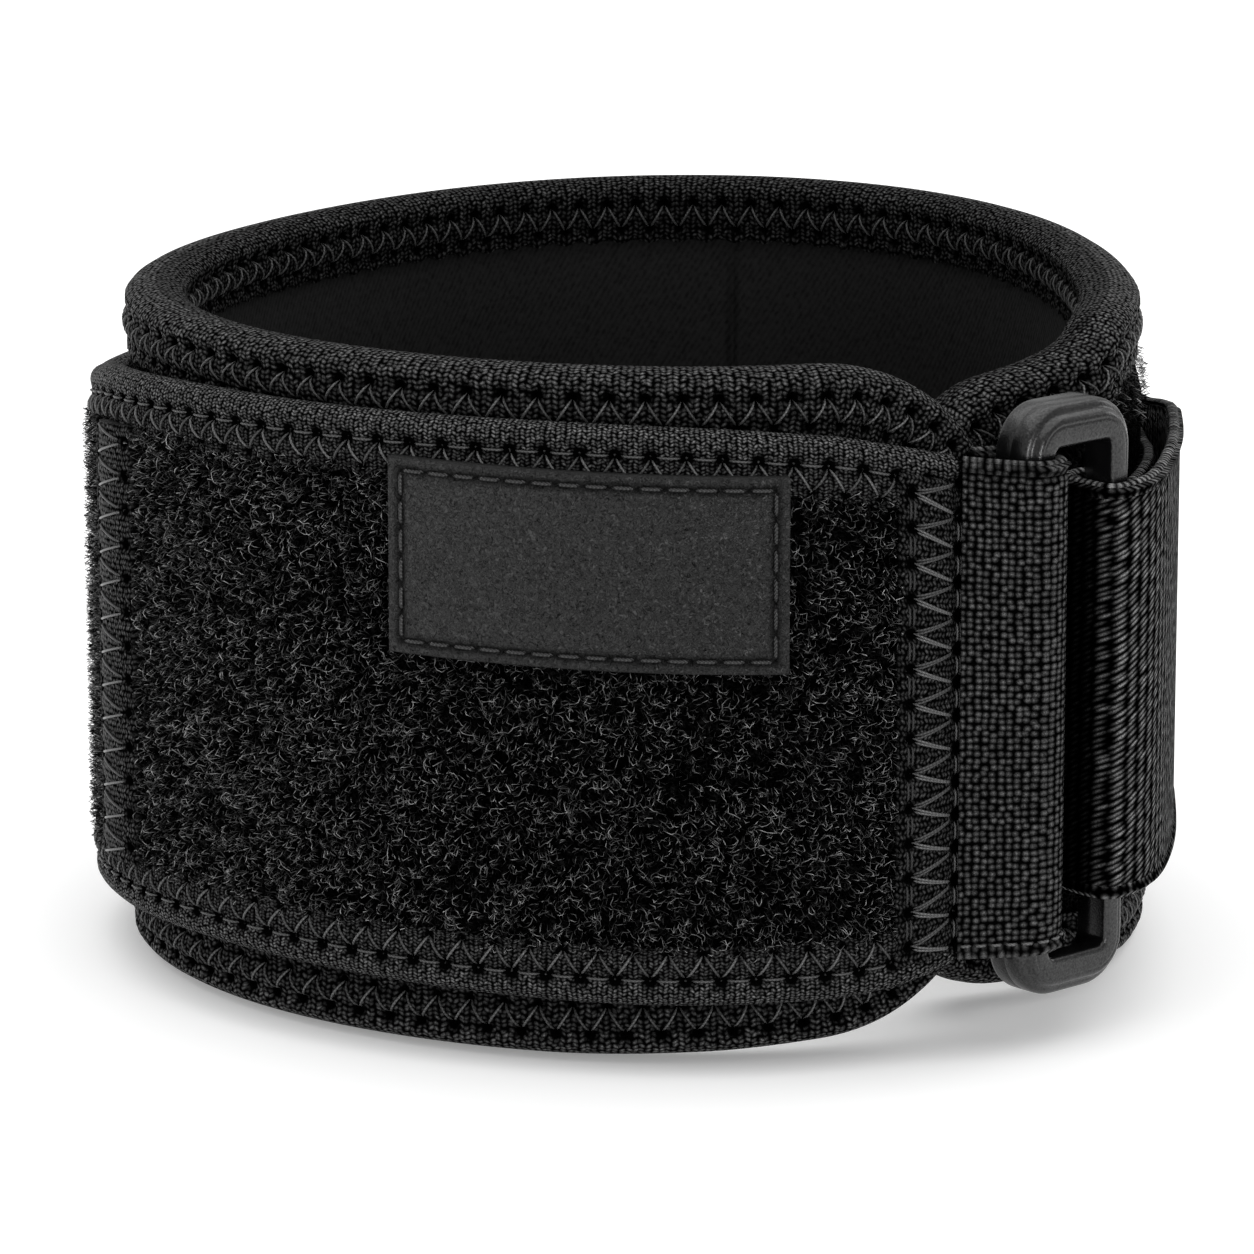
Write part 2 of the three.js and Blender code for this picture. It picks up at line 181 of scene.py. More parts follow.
def add(tree, kind, sockets, **settings):
    """A node with its settings. A socket is given a value or linked to another node's output."""
    node = tree.nodes.new(kind)
    for key, value in settings.items():
        setattr(node, key, value)
    for key, value in sockets.items():
        if isinstance(value, bpy.types.NodeSocket):
            tree.links.new(value, node.inputs[key])
        else:
            node.inputs[key].default_value = value
    return node.outputs


def cloth_steps(tree, steps, values=None):
    """Works out a pattern step by step, from the cloth coordinates u and v, in millimetres, or from known
    values."""
    if values is None:
        cloth = add(tree, "ShaderNodeUVMap", {}, uv_map="cloth")["UV"]
        axes = add(tree, "ShaderNodeSeparateXYZ", {"Vector": cloth})
        values = {"u": axes["X"], "v": axes["Y"]}
    for result, operation, first, second in steps:
        sockets = {0: values.get(first, first), 1: values.get(second, second)}
        values[result] = add(tree, "ShaderNodeMath", sockets, operation=operation)["Value"]
    return values


def yarn_bumps(tree, steps, uneven, variety, sharp):
    """Rounded yarn bumps, one in every unit square of x and y, which the steps work out. Their crests are
    painted pale as highlights and the gaps between them dark as painted shade. variety is the share of their
    paleness that differs at random from bump to bump, and sharp narrows their painted pale crests."""
    values = cloth_steps(tree, steps)
    spot = add(tree, "ShaderNodeCombineXYZ", {"X": values["x"], "Y": values["y"]})["Vector"]
    cells = {"Vector": spot, "Scale": 1.0, "Randomness": uneven}
    voronoi = add(tree, "ShaderNodeTexVoronoi", cells, voronoi_dimensions="2D")
    chance = add(tree, "ShaderNodeSeparateColor", {"Color": voronoi["Color"]})["Red"]
    place = add(tree, "ShaderNodeTexCoord", {})["Object"]
    hairs = add(tree, "ShaderNodeTexNoise", {"Vector": place, "Scale": 9000.0, "Detail": 1.0})[0]
    values.update(distance=voronoi["Distance"], chance=chance, hairs=hairs)
    cloth_steps(tree, [
        ("swell", "MULTIPLY", "distance", 1.55), ("fall", "POWER", "swell", 2.0),
        ("rise", "SUBTRACT", 1.0, "fall"), ("level", "MAXIMUM", "rise", 0.0),
        ("crest", "POWER", "level", sharp), ("rare", "POWER", "chance", 2.0),
        ("varied", "MULTIPLY", "rare", variety), ("lit", "ADD", "varied", 1 - variety),
        ("hairy", "MULTIPLY", "hairs", 2.0), ("matt", "POWER", "hairy", 1.5),
        ("fleck", "MULTIPLY", "lit", "matt"), ("pale", "MULTIPLY", "crest", "fleck"),
    ], values)
    return values


def empty_tree(owner):
    owner.use_nodes = True
    owner.node_tree.nodes.clear()
    return owner.node_tree


def finish_material(name, height, colours, depth, rough, gloss):
    """A material between two colours. height gives the level of its bumps and how pale it is there."""
    material = bpy.data.materials.new(name)
    tree = empty_tree(material)
    level, pale = height(tree)
    # The attribute darkens the colour: painted shade, and on fibres a random tone with painted glints
    painted_shade_and_tone = add(tree, "ShaderNodeAttribute", {}, attribute_name="painted_shade_and_tone")["Fac"]
    unshaded = add(tree, "ShaderNodeMath", {0: 1.0, 1: painted_shade_and_tone}, operation="SUBTRACT", use_clamp=True)["Value"]
    shown = add(tree, "ShaderNodeMath", {0: pale, 1: unshaded}, operation="MULTIPLY")["Value"]
    mix = {0: shown, 6: linear(colours[0]), 7: linear(colours[1])}
    colour = add(tree, "ShaderNodeMix", mix, data_type="RGBA")[2]
    shine = add(tree, "ShaderNodeMath", {0: shown, 1: gloss}, operation="MULTIPLY")["Value"]
    bump = add(tree, "ShaderNodeBump", {"Height": level, "Strength": 1.0, "Distance": depth * MM})["Normal"]
    shader = {"Base Color": colour, "Roughness": rough, "Normal": bump, "Specular IOR Level": shine}
    surface = add(tree, "ShaderNodeBsdfPrincipled", shader)["BSDF"]
    add(tree, "ShaderNodeOutputMaterial", {"Surface": surface})
    return material


def dress(piece, materials, slot, *nodes):
    for material in materials:
        piece.data.materials.append(material)
    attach(piece, "root")
    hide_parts(*nodes)


def lining_height(tree):
    # Smooth jersey: faint slanting ribs 0.5 mm apart, broken up by an unevenness of about 0.4 mm. The rib
    # tops
    #     are painted paler as painted shading, and the unevenness gives a random tone
    values = cloth_steps(tree, [
        ("slant", "MULTIPLY", "v", 0.6), ("across", "ADD", "u", "slant"),
        ("turn", "MULTIPLY", "across", 12.6), ("rib", "SINE", "turn", 0),
        ("half", "MULTIPLY", "rib", 0.12), ("level", "ADD", "half", 0.5),
    ])
    place = add(tree, "ShaderNodeTexCoord", {})["Object"]
    patches = add(tree, "ShaderNodeTexNoise", {"Vector": place, "Scale": 2400.0, "Detail": 4.0})[0]
    level = add(tree, "ShaderNodeMath", {0: values["level"], 1: patches}, operation="ADD")["Value"]
    return level, add(tree, "ShaderNodeMath", {0: level, 1: 2.0}, operation="POWER")["Value"]


def ground_height(tree):
    # Ground of the pile: a tangle of fine curled fibres about 0.4 mm across, painted paler than the painted
    #     shade between them, and paler in random patches
    place = add(tree, "ShaderNodeTexCoord", {})["Object"]
    drift = add(tree, "ShaderNodeTexNoise", {"Vector": place, "Scale": 1500.0, "Detail": 1.0})["Color"]
    sway = add(tree, "ShaderNodeVectorMath", {0: drift, 1: (0.0012, 0.0012, 0.0012)}, operation="MULTIPLY")[0]
    bent = add(tree, "ShaderNodeVectorMath", {0: place, 1: sway}, operation="ADD")[0]
    cells = {"Vector": bent, "Scale": 2200.0}
    gap = add(tree, "ShaderNodeTexVoronoi", cells, feature="DISTANCE_TO_EDGE")["Distance"]
    near = add(tree, "ShaderNodeMath", {0: gap, 1: 6.0}, operation="MULTIPLY")["Value"]
    level = add(tree, "ShaderNodeMath", {0: 1.0, 1: near}, operation="SUBTRACT", use_clamp=True)["Value"]
    patches = add(tree, "ShaderNodeTexNoise", {"Vector": place, "Scale": 1100.0, "Detail": 1.0})[0]
    rare = add(tree, "ShaderNodeMath", {0: patches, 1: 3.0}, operation="POWER")["Value"]
    return level, add(tree, "ShaderNodeMath", {0: level, 1: rare}, operation="MULTIPLY")["Value"]


lining = finish_material("knit lining", lining_height, ("#030303", "#171717"), 0.05, 0.8, 0.1)
pile_ground = finish_material("pile ground", ground_height, ("#010101", "#2a2a2a"), 0.2, 0.7, 0.2)

FOAM_SPOTS = 17
FOAM_RISE = 0.5 - 0.5 * np.cos(np.linspace(0, np.pi, FOAM_SPOTS))
MEAN_RADIUS = 37
BACK_SEAM = 79.8
foam_angles = np.linspace(INNER_TIP + 2, OUTER_TIP - 2, 240)
foam_angles = np.unique(np.concatenate([foam_angles, BACK_SEAM + np.linspace(-1.4, 1.4, 15)]))


def place_foam(station, spot):
    angle = foam_angles[station]
    inner = spot % (2 * FOAM_SPOTS) < FOAM_SPOTS
    spot = spot % FOAM_SPOTS
    outside = np.where(inner, -1, 1)
    rise = np.where(inner, FOAM_RISE[spot], FOAM_RISE[::-1][spot])
    low, high = read_table(BAND_EDGES, angle)
    per_degree = np.radians(MEAN_RADIUS)
    outer_drop = corner_drop((OUTER_TIP - angle) * per_degree - FOAM_INSET, OUTER_CORNER - FOAM_INSET)
    inner_drop = corner_drop((angle - INNER_TIP) * per_degree - FOAM_INSET, INNER_CORNER - FOAM_INSET)
    drop = outer_drop + inner_drop + FOAM_INSET
    z = low + drop + (high - low - 2 * drop) * rise
    inside = np.minimum(z - low - drop, high - drop - z)
    seam = 0.55 * np.exp(-((angle - BACK_SEAM) / 0.5) ** 2)
    lined = (0.2 - seam) * smooth(inside, 3.5, 5.6)
    thick = FOAM_HALF + np.where(outside > 0, band_bulge(angle, inside), lined)
    points = wall(angle, band_offset(angle) + band_flare(angle, z) + outside * thick, z)
    return points, np.stack([angle * 0.66, z], axis=-1)


foam_skin = [0] * FOAM_SPOTS + [1] * (FOAM_SPOTS - 1) + [0]
band = sweep("neoprene_foam", len(foam_angles), 2 * FOAM_SPOTS, place_foam, skin=foam_skin)
dress(band, [lining, pile_ground], "neoprene", "neoprene_band")

# Band binding: knitted tape folded over the whole edge of the band and sewn through with a zigzag of thick
# thread, which draws a row of holes below the rolled edge and scallops the tape's own edge.
STITCH_PITCH = 2.5
STITCH_BAYS = 6
THREAD = 0.19


def sewn_knit(loop, course, pitch, rows, span, inside, flange):
    """The finish of a knitted tape with rows of needle holes. A row is its distance from the tape's edge,
    the share of a stitch that it is shifted by and the size of its holes. A folded tape has the rows on
    both sides of its span. inside is how pale its inner side is drawn beside the outer one, as painted shade,
    flange how pale the cloth is between its edge and the first row."""

    def height(tree):
        # Stockinette: rounded half loops that lean together in pairs, drawn into folds round each hole.
        # Painted shade
        #         darkens each hole, and painted shading makes its folds lighter and darker in turn
        values = yarn_bumps(tree, [
            ("lean", "PINGPONG", "u", loop), ("leaned", "MULTIPLY", "lean", 0.4),
            ("row", "ADD", "v", "leaned"), ("x", "DIVIDE", "u", loop), ("y", "DIVIDE", "row", course),
            ("other", "SUBTRACT", span, "v"), ("inset", "MINIMUM", "v", "other"),
            ("turns", "DIVIDE", "u", pitch), ("first", "LESS_THAN", "v", span / 2),
            ("loss", "MULTIPLY", "first", 1 - inside), ("side", "SUBTRACT", 1.0, "loss"),
            ("within", "LESS_THAN", "inset", rows[0][0]), ("dimmed", "MULTIPLY", "within", 1 - flange),
            ("kept", "SUBTRACT", 1.0, "dimmed"), ("clear", "MULTIPLY", "side", "kept"),
        ], 0.45, 0.6, 3.0)
        cloth_steps(tree, [("pale", "MULTIPLY", "pale", "clear")], values)
        for distance, shift, size in rows:
            cloth_steps(tree, [
                ("turn", "ADD", "turns", shift), ("whole", "ROUND", "turn", 0),
                ("part", "SUBTRACT", "turn", "whole"), ("along", "MULTIPLY", "part", pitch),
                ("across", "SUBTRACT", "inset", distance), ("along2", "MULTIPLY", "along", "along"),
                ("across2", "MULTIPLY", "across", "across"), ("away", "ADD", "along2", "across2"),
                ("hole", "MULTIPLY", "away", -1 / size ** 2), ("dark", "EXPONENT", "hole", 0),
                ("darker", "MULTIPLY", "dark", 1.7), ("core", "MINIMUM", "darker", 1.0),
                ("unshaded", "SUBTRACT", 1.0, "core"), ("spin", "ARCTAN2", "across", "along"),
                ("spokes", "MULTIPLY", "spin", 7.0), ("fold", "COSINE", "spokes", 0),
                ("far", "MULTIPLY", "hole", 0.25), ("reach", "EXPONENT", "far", 0),
                ("ridge", "MULTIPLY", "fold", "reach"), ("gentle", "MULTIPLY", "ridge", 0.45),
                ("keep", "ADD", "gentle", 1.0), ("shade", "MULTIPLY", "keep", "unshaded"),
                ("pale", "MULTIPLY", "pale", "shade"), ("level", "MULTIPLY", "level", "keep"),
            ], values)
        return values["level"], values["pale"]

    return height


def thread_height(tree):
    # Twisted thread: its plies show as slanting bands 0.28 mm apart
    values = cloth_steps(tree, [
        ("turn", "MULTIPLY", "u", 2 * np.pi / 0.28), ("ply", "ADD", "turn", "v"), ("wave", "SINE", "ply", 0),
        ("half", "MULTIPLY", "wave", 0.25), ("level", "ADD", "half", 0.75),
    ])
    return values["level"], values["level"]


thread = finish_material("sewing thread", thread_height, ("#080808", "#5e5e5e"), 0.02, 0.35, 0.6)


def strands(name, thick, sides, paths, normals, painted_shade_and_tone=0.0):
    """Threads or fibres, each a thin closed tube along a path of its own, thinner at both ends."""
    count, points = paths.shape[:2]
    ahead = np.gradient(paths, axis=1)
    ahead /= np.linalg.norm(ahead, axis=2, keepdims=True)
    side = np.cross(ahead, normals)
    side /= np.linalg.norm(side, axis=2, keepdims=True)
    up = np.cross(side, ahead)
    turn = np.arange(sides) * 2 * np.pi / sides
    reach = np.full(points, thick / 2)
    reach[[0, -1]] *= 0.6
    round_it = up[:, :, None] * np.cos(turn)[:, None] + side[:, :, None] * np.sin(turn)[:, None]
    skin = paths[:, :, None] + round_it * reach[:, None, None]
    index = np.arange(count * points * sides).reshape(count, points, sides)
    beside = np.roll(index, -1, axis=2)
    quads = np.stack([index[:, :-1], beside[:, :-1], beside[:, 1:], index[:, 1:]], axis=-1).reshape(-1, 4)
    caps = np.concatenate([index[:, 0, ::-1], index[:, -1]])
    mesh = bpy.data.meshes.new(name)
    mesh.from_pydata((skin.reshape(-1, 3) * MM).tolist(), [], quads.tolist() + caps.tolist())
    steps = np.linalg.norm(np.diff(paths, axis=1), axis=2)
    along = np.concatenate([np.zeros((count, 1)), np.cumsum(steps, axis=1)], axis=1)
    u = np.repeat((along + np.arange(count)[:, None] * 0.37)[:, :, None], sides, axis=2)
    v = np.broadcast_to(turn, u.shape)
    shades = np.repeat(np.broadcast_to(painted_shade_and_tone, (count, points)).ravel(), sides)
    lay_cloth(mesh, np.stack([u.ravel(), v.ravel()], axis=-1), shades)
    mesh.shade_smooth()
    return show(name, mesh)


def sunk(s, d, pitch, near, far, deep):
    """How far the sewing draws the cloth in: a deep hole for every stitch in the near row, a less deep one
    for every stitch in the far row, and a groove along each row."""
    near_gap = (s / pitch + 0.5) % 1 * pitch - pitch / 2
    far_gap = s / pitch % 1 * pitch - pitch / 2
    near_hole = np.exp(-(near_gap ** 2 + (d - near) ** 2) / 0.24)
    far_hole = 0.67 * np.exp(-(far_gap ** 2 + (d - far) ** 2) / 0.2)
    groove = 0.38 * np.exp(-((d - near) / 0.5) ** 2) + 0.16 * np.exp(-((d - far) / 0.4) ** 2)
    return deep * (near_hole + far_hole + groove)


def laid_on(place, s, d, w):
    """Paths of threads at the height w above the cloth's middle, with their normals."""
    paths = place(s, d, w)
    return paths, place(s, d, w + 1) - paths


def joined(groups):
    return [np.concatenate(parts) for parts in zip(*groups)]


def zigzag(place, face, stitches, pitch, near, far, strands_apart=(0,)):
    """Paths of the thread from each near hole to the far holes on both sides of it, with their normals and
    with how dark they are: the legs that lean back are darkened with painted shade."""
    t = np.linspace(0, 1, 6)
    first = np.arange(stitches)[:, None] * pitch
    legs = []
    shades = []
    for apart in strands_apart:
        legs.append(first + t * pitch / 2 + apart * t)
        legs.append(first + pitch - t * pitch / 2 + apart * t)
        shades.append(np.full((stitches, 6), 0.0))
        shades.append(np.full((stitches, 6), 0.45))
    s = np.concatenate(legs)
    d = np.broadcast_to(near + (0.06 + 0.94 * t) * (far - near), s.shape)
    lift = 0.12 - 0.3 * np.abs(2 * t - 1) ** 5
    return *laid_on(place, s, d, face(s, d) + lift), np.concatenate(shades)


# Half the thickness, the rolled edge, the width and the thickness of the cloth, how much thinner the tape is
# at its own edge, its near and far rows of holes and how deep the sewing draws it in
Fold = namedtuple("Fold", "half roll depth cloth taper near far deep")


def fold_section(fold):
    """Section of a folded tape: depth below the edge and distance across, with how many of its spots
    show outside."""
    half, roll, depth, cloth, taper = fold[:5]
    flank = np.linspace(1, 0, 12, endpoint=False)
    d = roll + (depth - roll) * flank
    w = half - taper * smooth(d, roll, depth)
    turn = np.linspace(0, np.pi, 11)
    roll_d = roll * (1 - np.sin(turn))
    roll_w = -half * np.cos(turn)
    inner = half - cloth - taper
    inner_d = [depth, depth * 0.6, roll + cloth, cloth * 2, roll + cloth, depth * 0.6, depth]
    inner_w = np.array([1, 1, 0.9, 0, -0.9, -1, -1]) * inner
    d = np.concatenate([d, roll_d, d[::-1], inner_d])
    w = np.concatenate([-w, roll_w, w[::-1], inner_w])
    return d, w, len(flank) * 2 + len(turn)


def fold_face(fold, pitch):
    """How far out the outside of a folded tape lies, drawn in by its sewing."""

    def face(s, d):
        folded = fold.half - fold.taper * smooth(d, fold.roll, fold.depth)
        return folded - sunk(s, d, pitch, fold.near, fold.far, fold.deep)

    return face


def fold_knit(name, fold, pitch, loop, course, holes, inside, flange, colours, depth):
    """The knit of a folded tape, given the sizes of the holes in its near and far rows."""
    d, w, shown = fold_section(fold)
    span = lengths_along(np.stack([d, w], axis=-1))[shown - 1]
    rows = [(fold.depth - fold.near, 0.0, holes[0]), (fold.depth - fold.far, 0.5, holes[1])]
    height = sewn_knit(loop, course, pitch, rows, span, inside, flange)
    return finish_material(name, height, colours, depth, 0.5, 0.3)


def bound_edge(name, place, length, stitches, fold, closed):
    """A folded tape along an edge, drawn in by its sewing."""
    d_ring, w_ring, shown = fold_section(fold)
    ring = len(d_ring)
    pitch = length / stitches
    stations = stitches * STITCH_BAYS + (0 if closed else 1)
    depth = d_ring.max()
    across = lengths_along(np.stack([d_ring, w_ring], axis=-1))

    def put(station, spot):
        s = station * pitch / STITCH_BAYS
        spot = spot % ring
        d = d_ring[spot]
        w = w_ring[spot]
        scallop = 0.2 * np.cos(2 * np.pi * s / pitch + np.pi) * smooth(d, fold.far, depth) * (spot < shown)
        drawn = sunk(s, d, pitch, fold.near, fold.far, fold.deep)
        inward = drawn * (spot < shown) * smooth(np.abs(w), 0.3, 0.9)
        points = place(s, d + scallop, w - np.sign(w) * inward)
        return points, np.stack([s, across[spot]], axis=-1)

    return sweep(name, stations, ring, put, closed=closed)


band_angles = np.linspace(INNER_TIP, OUTER_TIP, 2400)
band_lengths = lengths_along(wall(band_angles, band_offset(band_angles), 0.0))
band_length = band_lengths[-1]


def band_line(side):
    """One long edge of the band laid flat, from the inner tip to the outer tip: 0 the lower, 1 the upper."""
    turn = np.linspace(np.pi / 2, 0, 24)
    inner_along = INNER_CORNER * (1 - np.sin(turn))
    outer_along = band_length - OUTER_CORNER * (1 - np.sin(turn[::-1]))
    middle = np.linspace(INNER_CORNER, band_length - OUTER_CORNER, 400)[1:-1]
    along = np.concatenate([inner_along, middle, outer_along])
    drop = np.concatenate([
        INNER_CORNER * (1 - np.cos(turn)), 0 * middle, OUTER_CORNER * (1 - np.cos(turn[::-1])),
    ])
    height = read_table(BAND_EDGES, np.interp(along, band_lengths, band_angles))[side]
    return np.stack([along, height + drop * (1 - 2 * side)], axis=-1)


outline = np.concatenate([band_line(0), band_line(1)[::-1]])
outline = np.concatenate([outline, outline[:1]])
outline_lengths = lengths_along(outline)
outline_length = outline_lengths[-1]
OUTLINE_STITCHES = round(outline_length / STITCH_PITCH)
outline_steps = np.linspace(0, outline_length, 1400, endpoint=False)
outline_at = np.stack(
    [np.interp(outline_steps, outline_lengths, outline[:, axis]) for axis in (0, 1)], axis=-1
)
heading = np.roll(outline_at, -2, axis=0) - np.roll(outline_at, 2, axis=0)
heading /= np.linalg.norm(heading, axis=1, keepdims=True)


def place_band_edge(s, d, w):
    """A point s along the band's outline, d in from its edge and w out of the wall's middle."""
    x, z, ahead, up = [
        np.interp(s, outline_steps, values, period=outline_length)
        for values in (outline_at[:, 0], outline_at[:, 1], heading[:, 0], heading[:, 1])
    ]
    angle = np.interp(x - d * up, band_lengths, band_angles)
    z = z + d * ahead
    return wall(angle, band_offset(angle) + band_flare(angle, z) + w, z)


BAND_FOLD = Fold(half=2.5, roll=1.5, depth=5.0, cloth=0.5, taper=0.25, near=1.9, far=4.0, deep=0.6)
band_pitch = outline_length / OUTLINE_STITCHES
band_face = fold_face(BAND_FOLD, band_pitch)
# Painted shade: the binding's side inside the band is drawn at half the paleness of its outer side
band_knit = fold_knit(
    "knitted band binding", BAND_FOLD, band_pitch, 0.46, 0.38, (0.5, 0.4), 0.5, 0.6,
    ("#030303", "#606060"), 0.25,
)
binding = bound_edge("band_binding_tape", place_band_edge, outline_length, OUTLINE_STITCHES, BAND_FOLD, True)
dress(binding, [band_knit], "binding_knit", "band_binding")


def band_seam(side):
    """The zigzag on one face of the band: 1 for the outer face, -1 for the inner one, darkened with painted
    shade.
    """

    def place(s, d, w):
        return place_band_edge(s, d, side * w)

    near, far = BAND_FOLD.near, BAND_FOLD.far
    paths, normals, shades = zigzag(place, band_face, OUTLINE_STITCHES, band_pitch, near, far)
    return paths, normals, np.maximum(shades, 0.25 - 0.25 * side)


seam = strands("band_binding_thread", THREAD, 4, *joined([band_seam(1), band_seam(-1)]))
dress(seam, [thread], "binding_knit", "band_binding")

# Loop panel: a wide strap faced with loop pile, sewn to the band at the back and drawn round the left side
# and the front, where its end carries the buckle.
PANEL_REAR = 77
PANEL_END = 302
PANEL_WALL = 1.4
PANEL_INSET = 0.9
PANEL_BAYS = 180
PANEL_SPOTS = 13
PANEL_PER_DEGREE = 0.72
BINDING_END = 299.7
# Angle, offset of the inner face, lower edge, upper edge
PANEL_RUN = [
    (77, 4.05, 3.2, 43), (88, 4.05, 3.2, 43), (104, 3.6, 3.2, 43), (160, 3.6, 3.4, 43),
    (180, 3.65, 4.1, 43.9), (192, 3.65, 4.8, 45.4), (201, 3.6, 5.2, 46.5), (222, 3.5, 5.7, 47.6),
    (258, 3.35, 5.2, 47.9), (272, 3.35, 5.0, 47.7), (287, 3.35, 5.1, 46.8), (294, 3.35, 5.6, 45.7),
    (302, 3.35, 6.9, 44.5),
]


def panel_lean(angle, z, low, high):
    """How far the panel's two edges lean in towards the band at the left."""
    near_edge = 0.5 * smooth(z, high - 7, high - 1) + 0.35 * smooth(low - z, -7, -1)
    return near_edge * smooth(angle, 150, 180) * (1 - smooth(angle, 192, 216))


def place_panel(station, spot):
    angle = PANEL_REAR + (PANEL_END - PANEL_REAR) * station / PANEL_BAYS
    inner, low, high = read_table(PANEL_RUN, angle)
    spot = spot % (2 * PANEL_SPOTS)
    outside = spot >= PANEL_SPOTS
    rise = np.where(outside, 2 * PANEL_SPOTS - 1 - spot, spot) / (PANEL_SPOTS - 1)
    z = low + PANEL_INSET + (high - low - 2 * PANEL_INSET) * rise
    points = wall(angle, inner + PANEL_WALL * outside - panel_lean(angle, z, low, high), z)
    return points, np.stack([angle * PANEL_PER_DEGREE, z], axis=-1)


panel = sweep("loop_panel_ground", PANEL_BAYS + 1, 2 * PANEL_SPOTS, place_panel)
dress(panel, [pile_ground], "loop_pile", "loop_panel")
panel_angles = np.linspace(PANEL_REAR, BINDING_END, 1200)
panel_inner = read_table(PANEL_RUN, panel_angles)[0]
panel_lengths = lengths_along(wall(panel_angles, panel_inner + PANEL_WALL / 2, 0.0))
panel_length = panel_lengths[-1]

# Panel bindings: the same knitted tape folded over the panel's two long edges, sewn with a zigzag and with
# a straight thread from hole to hole under the rolled edge.
PANEL_FOLD = Fold(half=1.25, roll=1.15, depth=4.5, cloth=0.3, taper=0.15, near=2.05, far=4.0, deep=0.38)
PANEL_STITCHES = round(panel_length / STITCH_PITCH)
panel_pitch = panel_length / PANEL_STITCHES
panel_face = fold_face(PANEL_FOLD, panel_pitch)
panel_knit = fold_knit(
    "knitted panel binding", PANEL_FOLD, panel_pitch, 0.36, 0.26, (0.6, 0.38), 1, 0.55,
    ("#040404", "#727272"), 0.14,
)


def bind_panel(name, top):
    """The binding of the panel's upper or lower edge, with its zigzag and its straight row of stitches."""

    def place(s, d, w):
        angle = np.interp(s, panel_lengths, panel_angles)
        inner, low, high = read_table(PANEL_RUN, angle)
        z = high - d if top else low + d
        return wall(angle, inner + PANEL_WALL / 2 - panel_lean(angle, z, low, high) + w, z)

    tape_name = f"panel_binding_{name}_tape"
    tape = bound_edge(tape_name, place, panel_length, PANEL_STITCHES, PANEL_FOLD, False)
    dress(tape, [panel_knit], "binding_knit", f"panel_binding_{name}")
    near, far = PANEL_FOLD.near, PANEL_FOLD.far
    legs = zigzag(place, panel_face, PANEL_STITCHES - 2, panel_pitch, near, far)
    t = np.linspace(0, 1, 6)
    s = (np.arange(PANEL_STITCHES - 1)[:, None] + 0.14 + 0.72 * t) * panel_pitch
    d = np.full(s.shape, near)
    w = panel_face(s, d) + 0.1 - 0.2 * np.abs(2 * t - 1) ** 5
    row = (*laid_on(place, s, d, w), np.full(s.shape, 0.3))
    threads = strands(f"panel_binding_{name}_thread", THREAD, 5, *joined([legs, row]))
    dress(threads, [thread], "binding_knit", f"panel_binding_{name}")


bind_panel("top", True)
bind_panel("bottom", False)

# Seam tapes: two flat knitted tapes on the panel's face, sewn down with an upright zigzag. The wide one
# crosses the left side, the narrow one ends the pile beside the buckle tab.
TAPE_LIFT = 0.25
TAPE_THICK = 0.45


def flat_tape(name, first, last, near, far, inset, strands_apart, upright_rows, node):
    """An upright tape on the panel between two angles, with the angles of its two rows of holes."""
    middle = np.array((first + last) / 2)
    per_degree = np.radians(np.linalg.norm(wall(middle, 5.2, 0.0)[:2] - np.array(CENTRE)))
    low, high = read_table(PANEL_RUN, middle)[1:]
    length = high - low - 2 * inset
    stitches = round(length / STITCH_PITCH)
    pitch = length / stitches
    width = (last - first) * per_degree
    rows = ((near - first) * per_degree, (far - first) * per_degree)
    face_spots = 24

    def place_face(s, d, w):
        angle = first + d / per_degree
        inner, low, high = read_table(PANEL_RUN, angle)
        z = low + inset + (high - low - 2 * inset) * s / length
        return wall(angle, inner + PANEL_WALL + TAPE_LIFT + w, z)

    def face(s, d):
        edge = 0.3 * smooth(np.minimum(d, width - d), 0, 0.5)
        between = np.clip((d - min(rows)) / (max(rows) - min(rows)), 0, 1)
        padded = TAPE_THICK - 0.2 + edge + 0.3 * np.sin(np.pi * between)
        return padded - sunk(s, d, pitch, *rows, PANEL_FOLD.deep)

    def put(station, spot):
        s = station * pitch / STITCH_BAYS
        spot = spot % (face_spots + 2)
        front = spot < face_spots
        d = np.where(front, width * spot / (face_spots - 1), np.where(spot == face_spots, width, 0))
        w = np.where(front, face(s, d), -0.2)
        return place_face(s, d, w), np.stack([s, d], axis=-1)

    tape = sweep(name, stitches * STITCH_BAYS + 1, face_spots + 2, put)
    tape_rows = [(rows[0], 0.0, 0.65), (rows[1], 0.5, 0.5)]
    height = sewn_knit(0.42, 0.28, pitch, tape_rows, 100, 1, 1)
    tape_knit = finish_material(f"knitted {name}", height, ("#030303", "#404040"), 0.14, 0.5, 0.3)
    dress(tape, [tape_knit], "binding_knit", node)
    threads = [zigzag(place_face, face, stitches, pitch, *rows, strands_apart)]
    t = np.linspace(0, 1, 6)
    for row, shift in upright_rows:
        for apart in strands_apart:
            s = (np.arange(stitches - 1)[:, None] + shift + 0.2 + 0.6 * t) * pitch
            d = np.full(s.shape, rows[row] + apart * 1.2)
            w = face(s, d) + 0.06 - 0.15 * np.abs(2 * t - 1) ** 5
            threads.append((*laid_on(place_face, s, d, w), np.full(s.shape, 0.25 + 0.4 * row)))
    thread_piece = strands(f"{name}_thread", THREAD, 5, *joined(threads))
    dress(thread_piece, [thread], "binding_knit", node)


flat_tape("side_tape", 198.8, 208.4, 200.3, 207.5, 3.9, (0,), [(0, 0)], "side_seam_tape")
flat_tape("end_tape", 293.4, 300.3, 299.5, 294.5, 1.8, (-0.13, 0.13), [(0, 0), (1, 0.5)], "end_seam_tape")

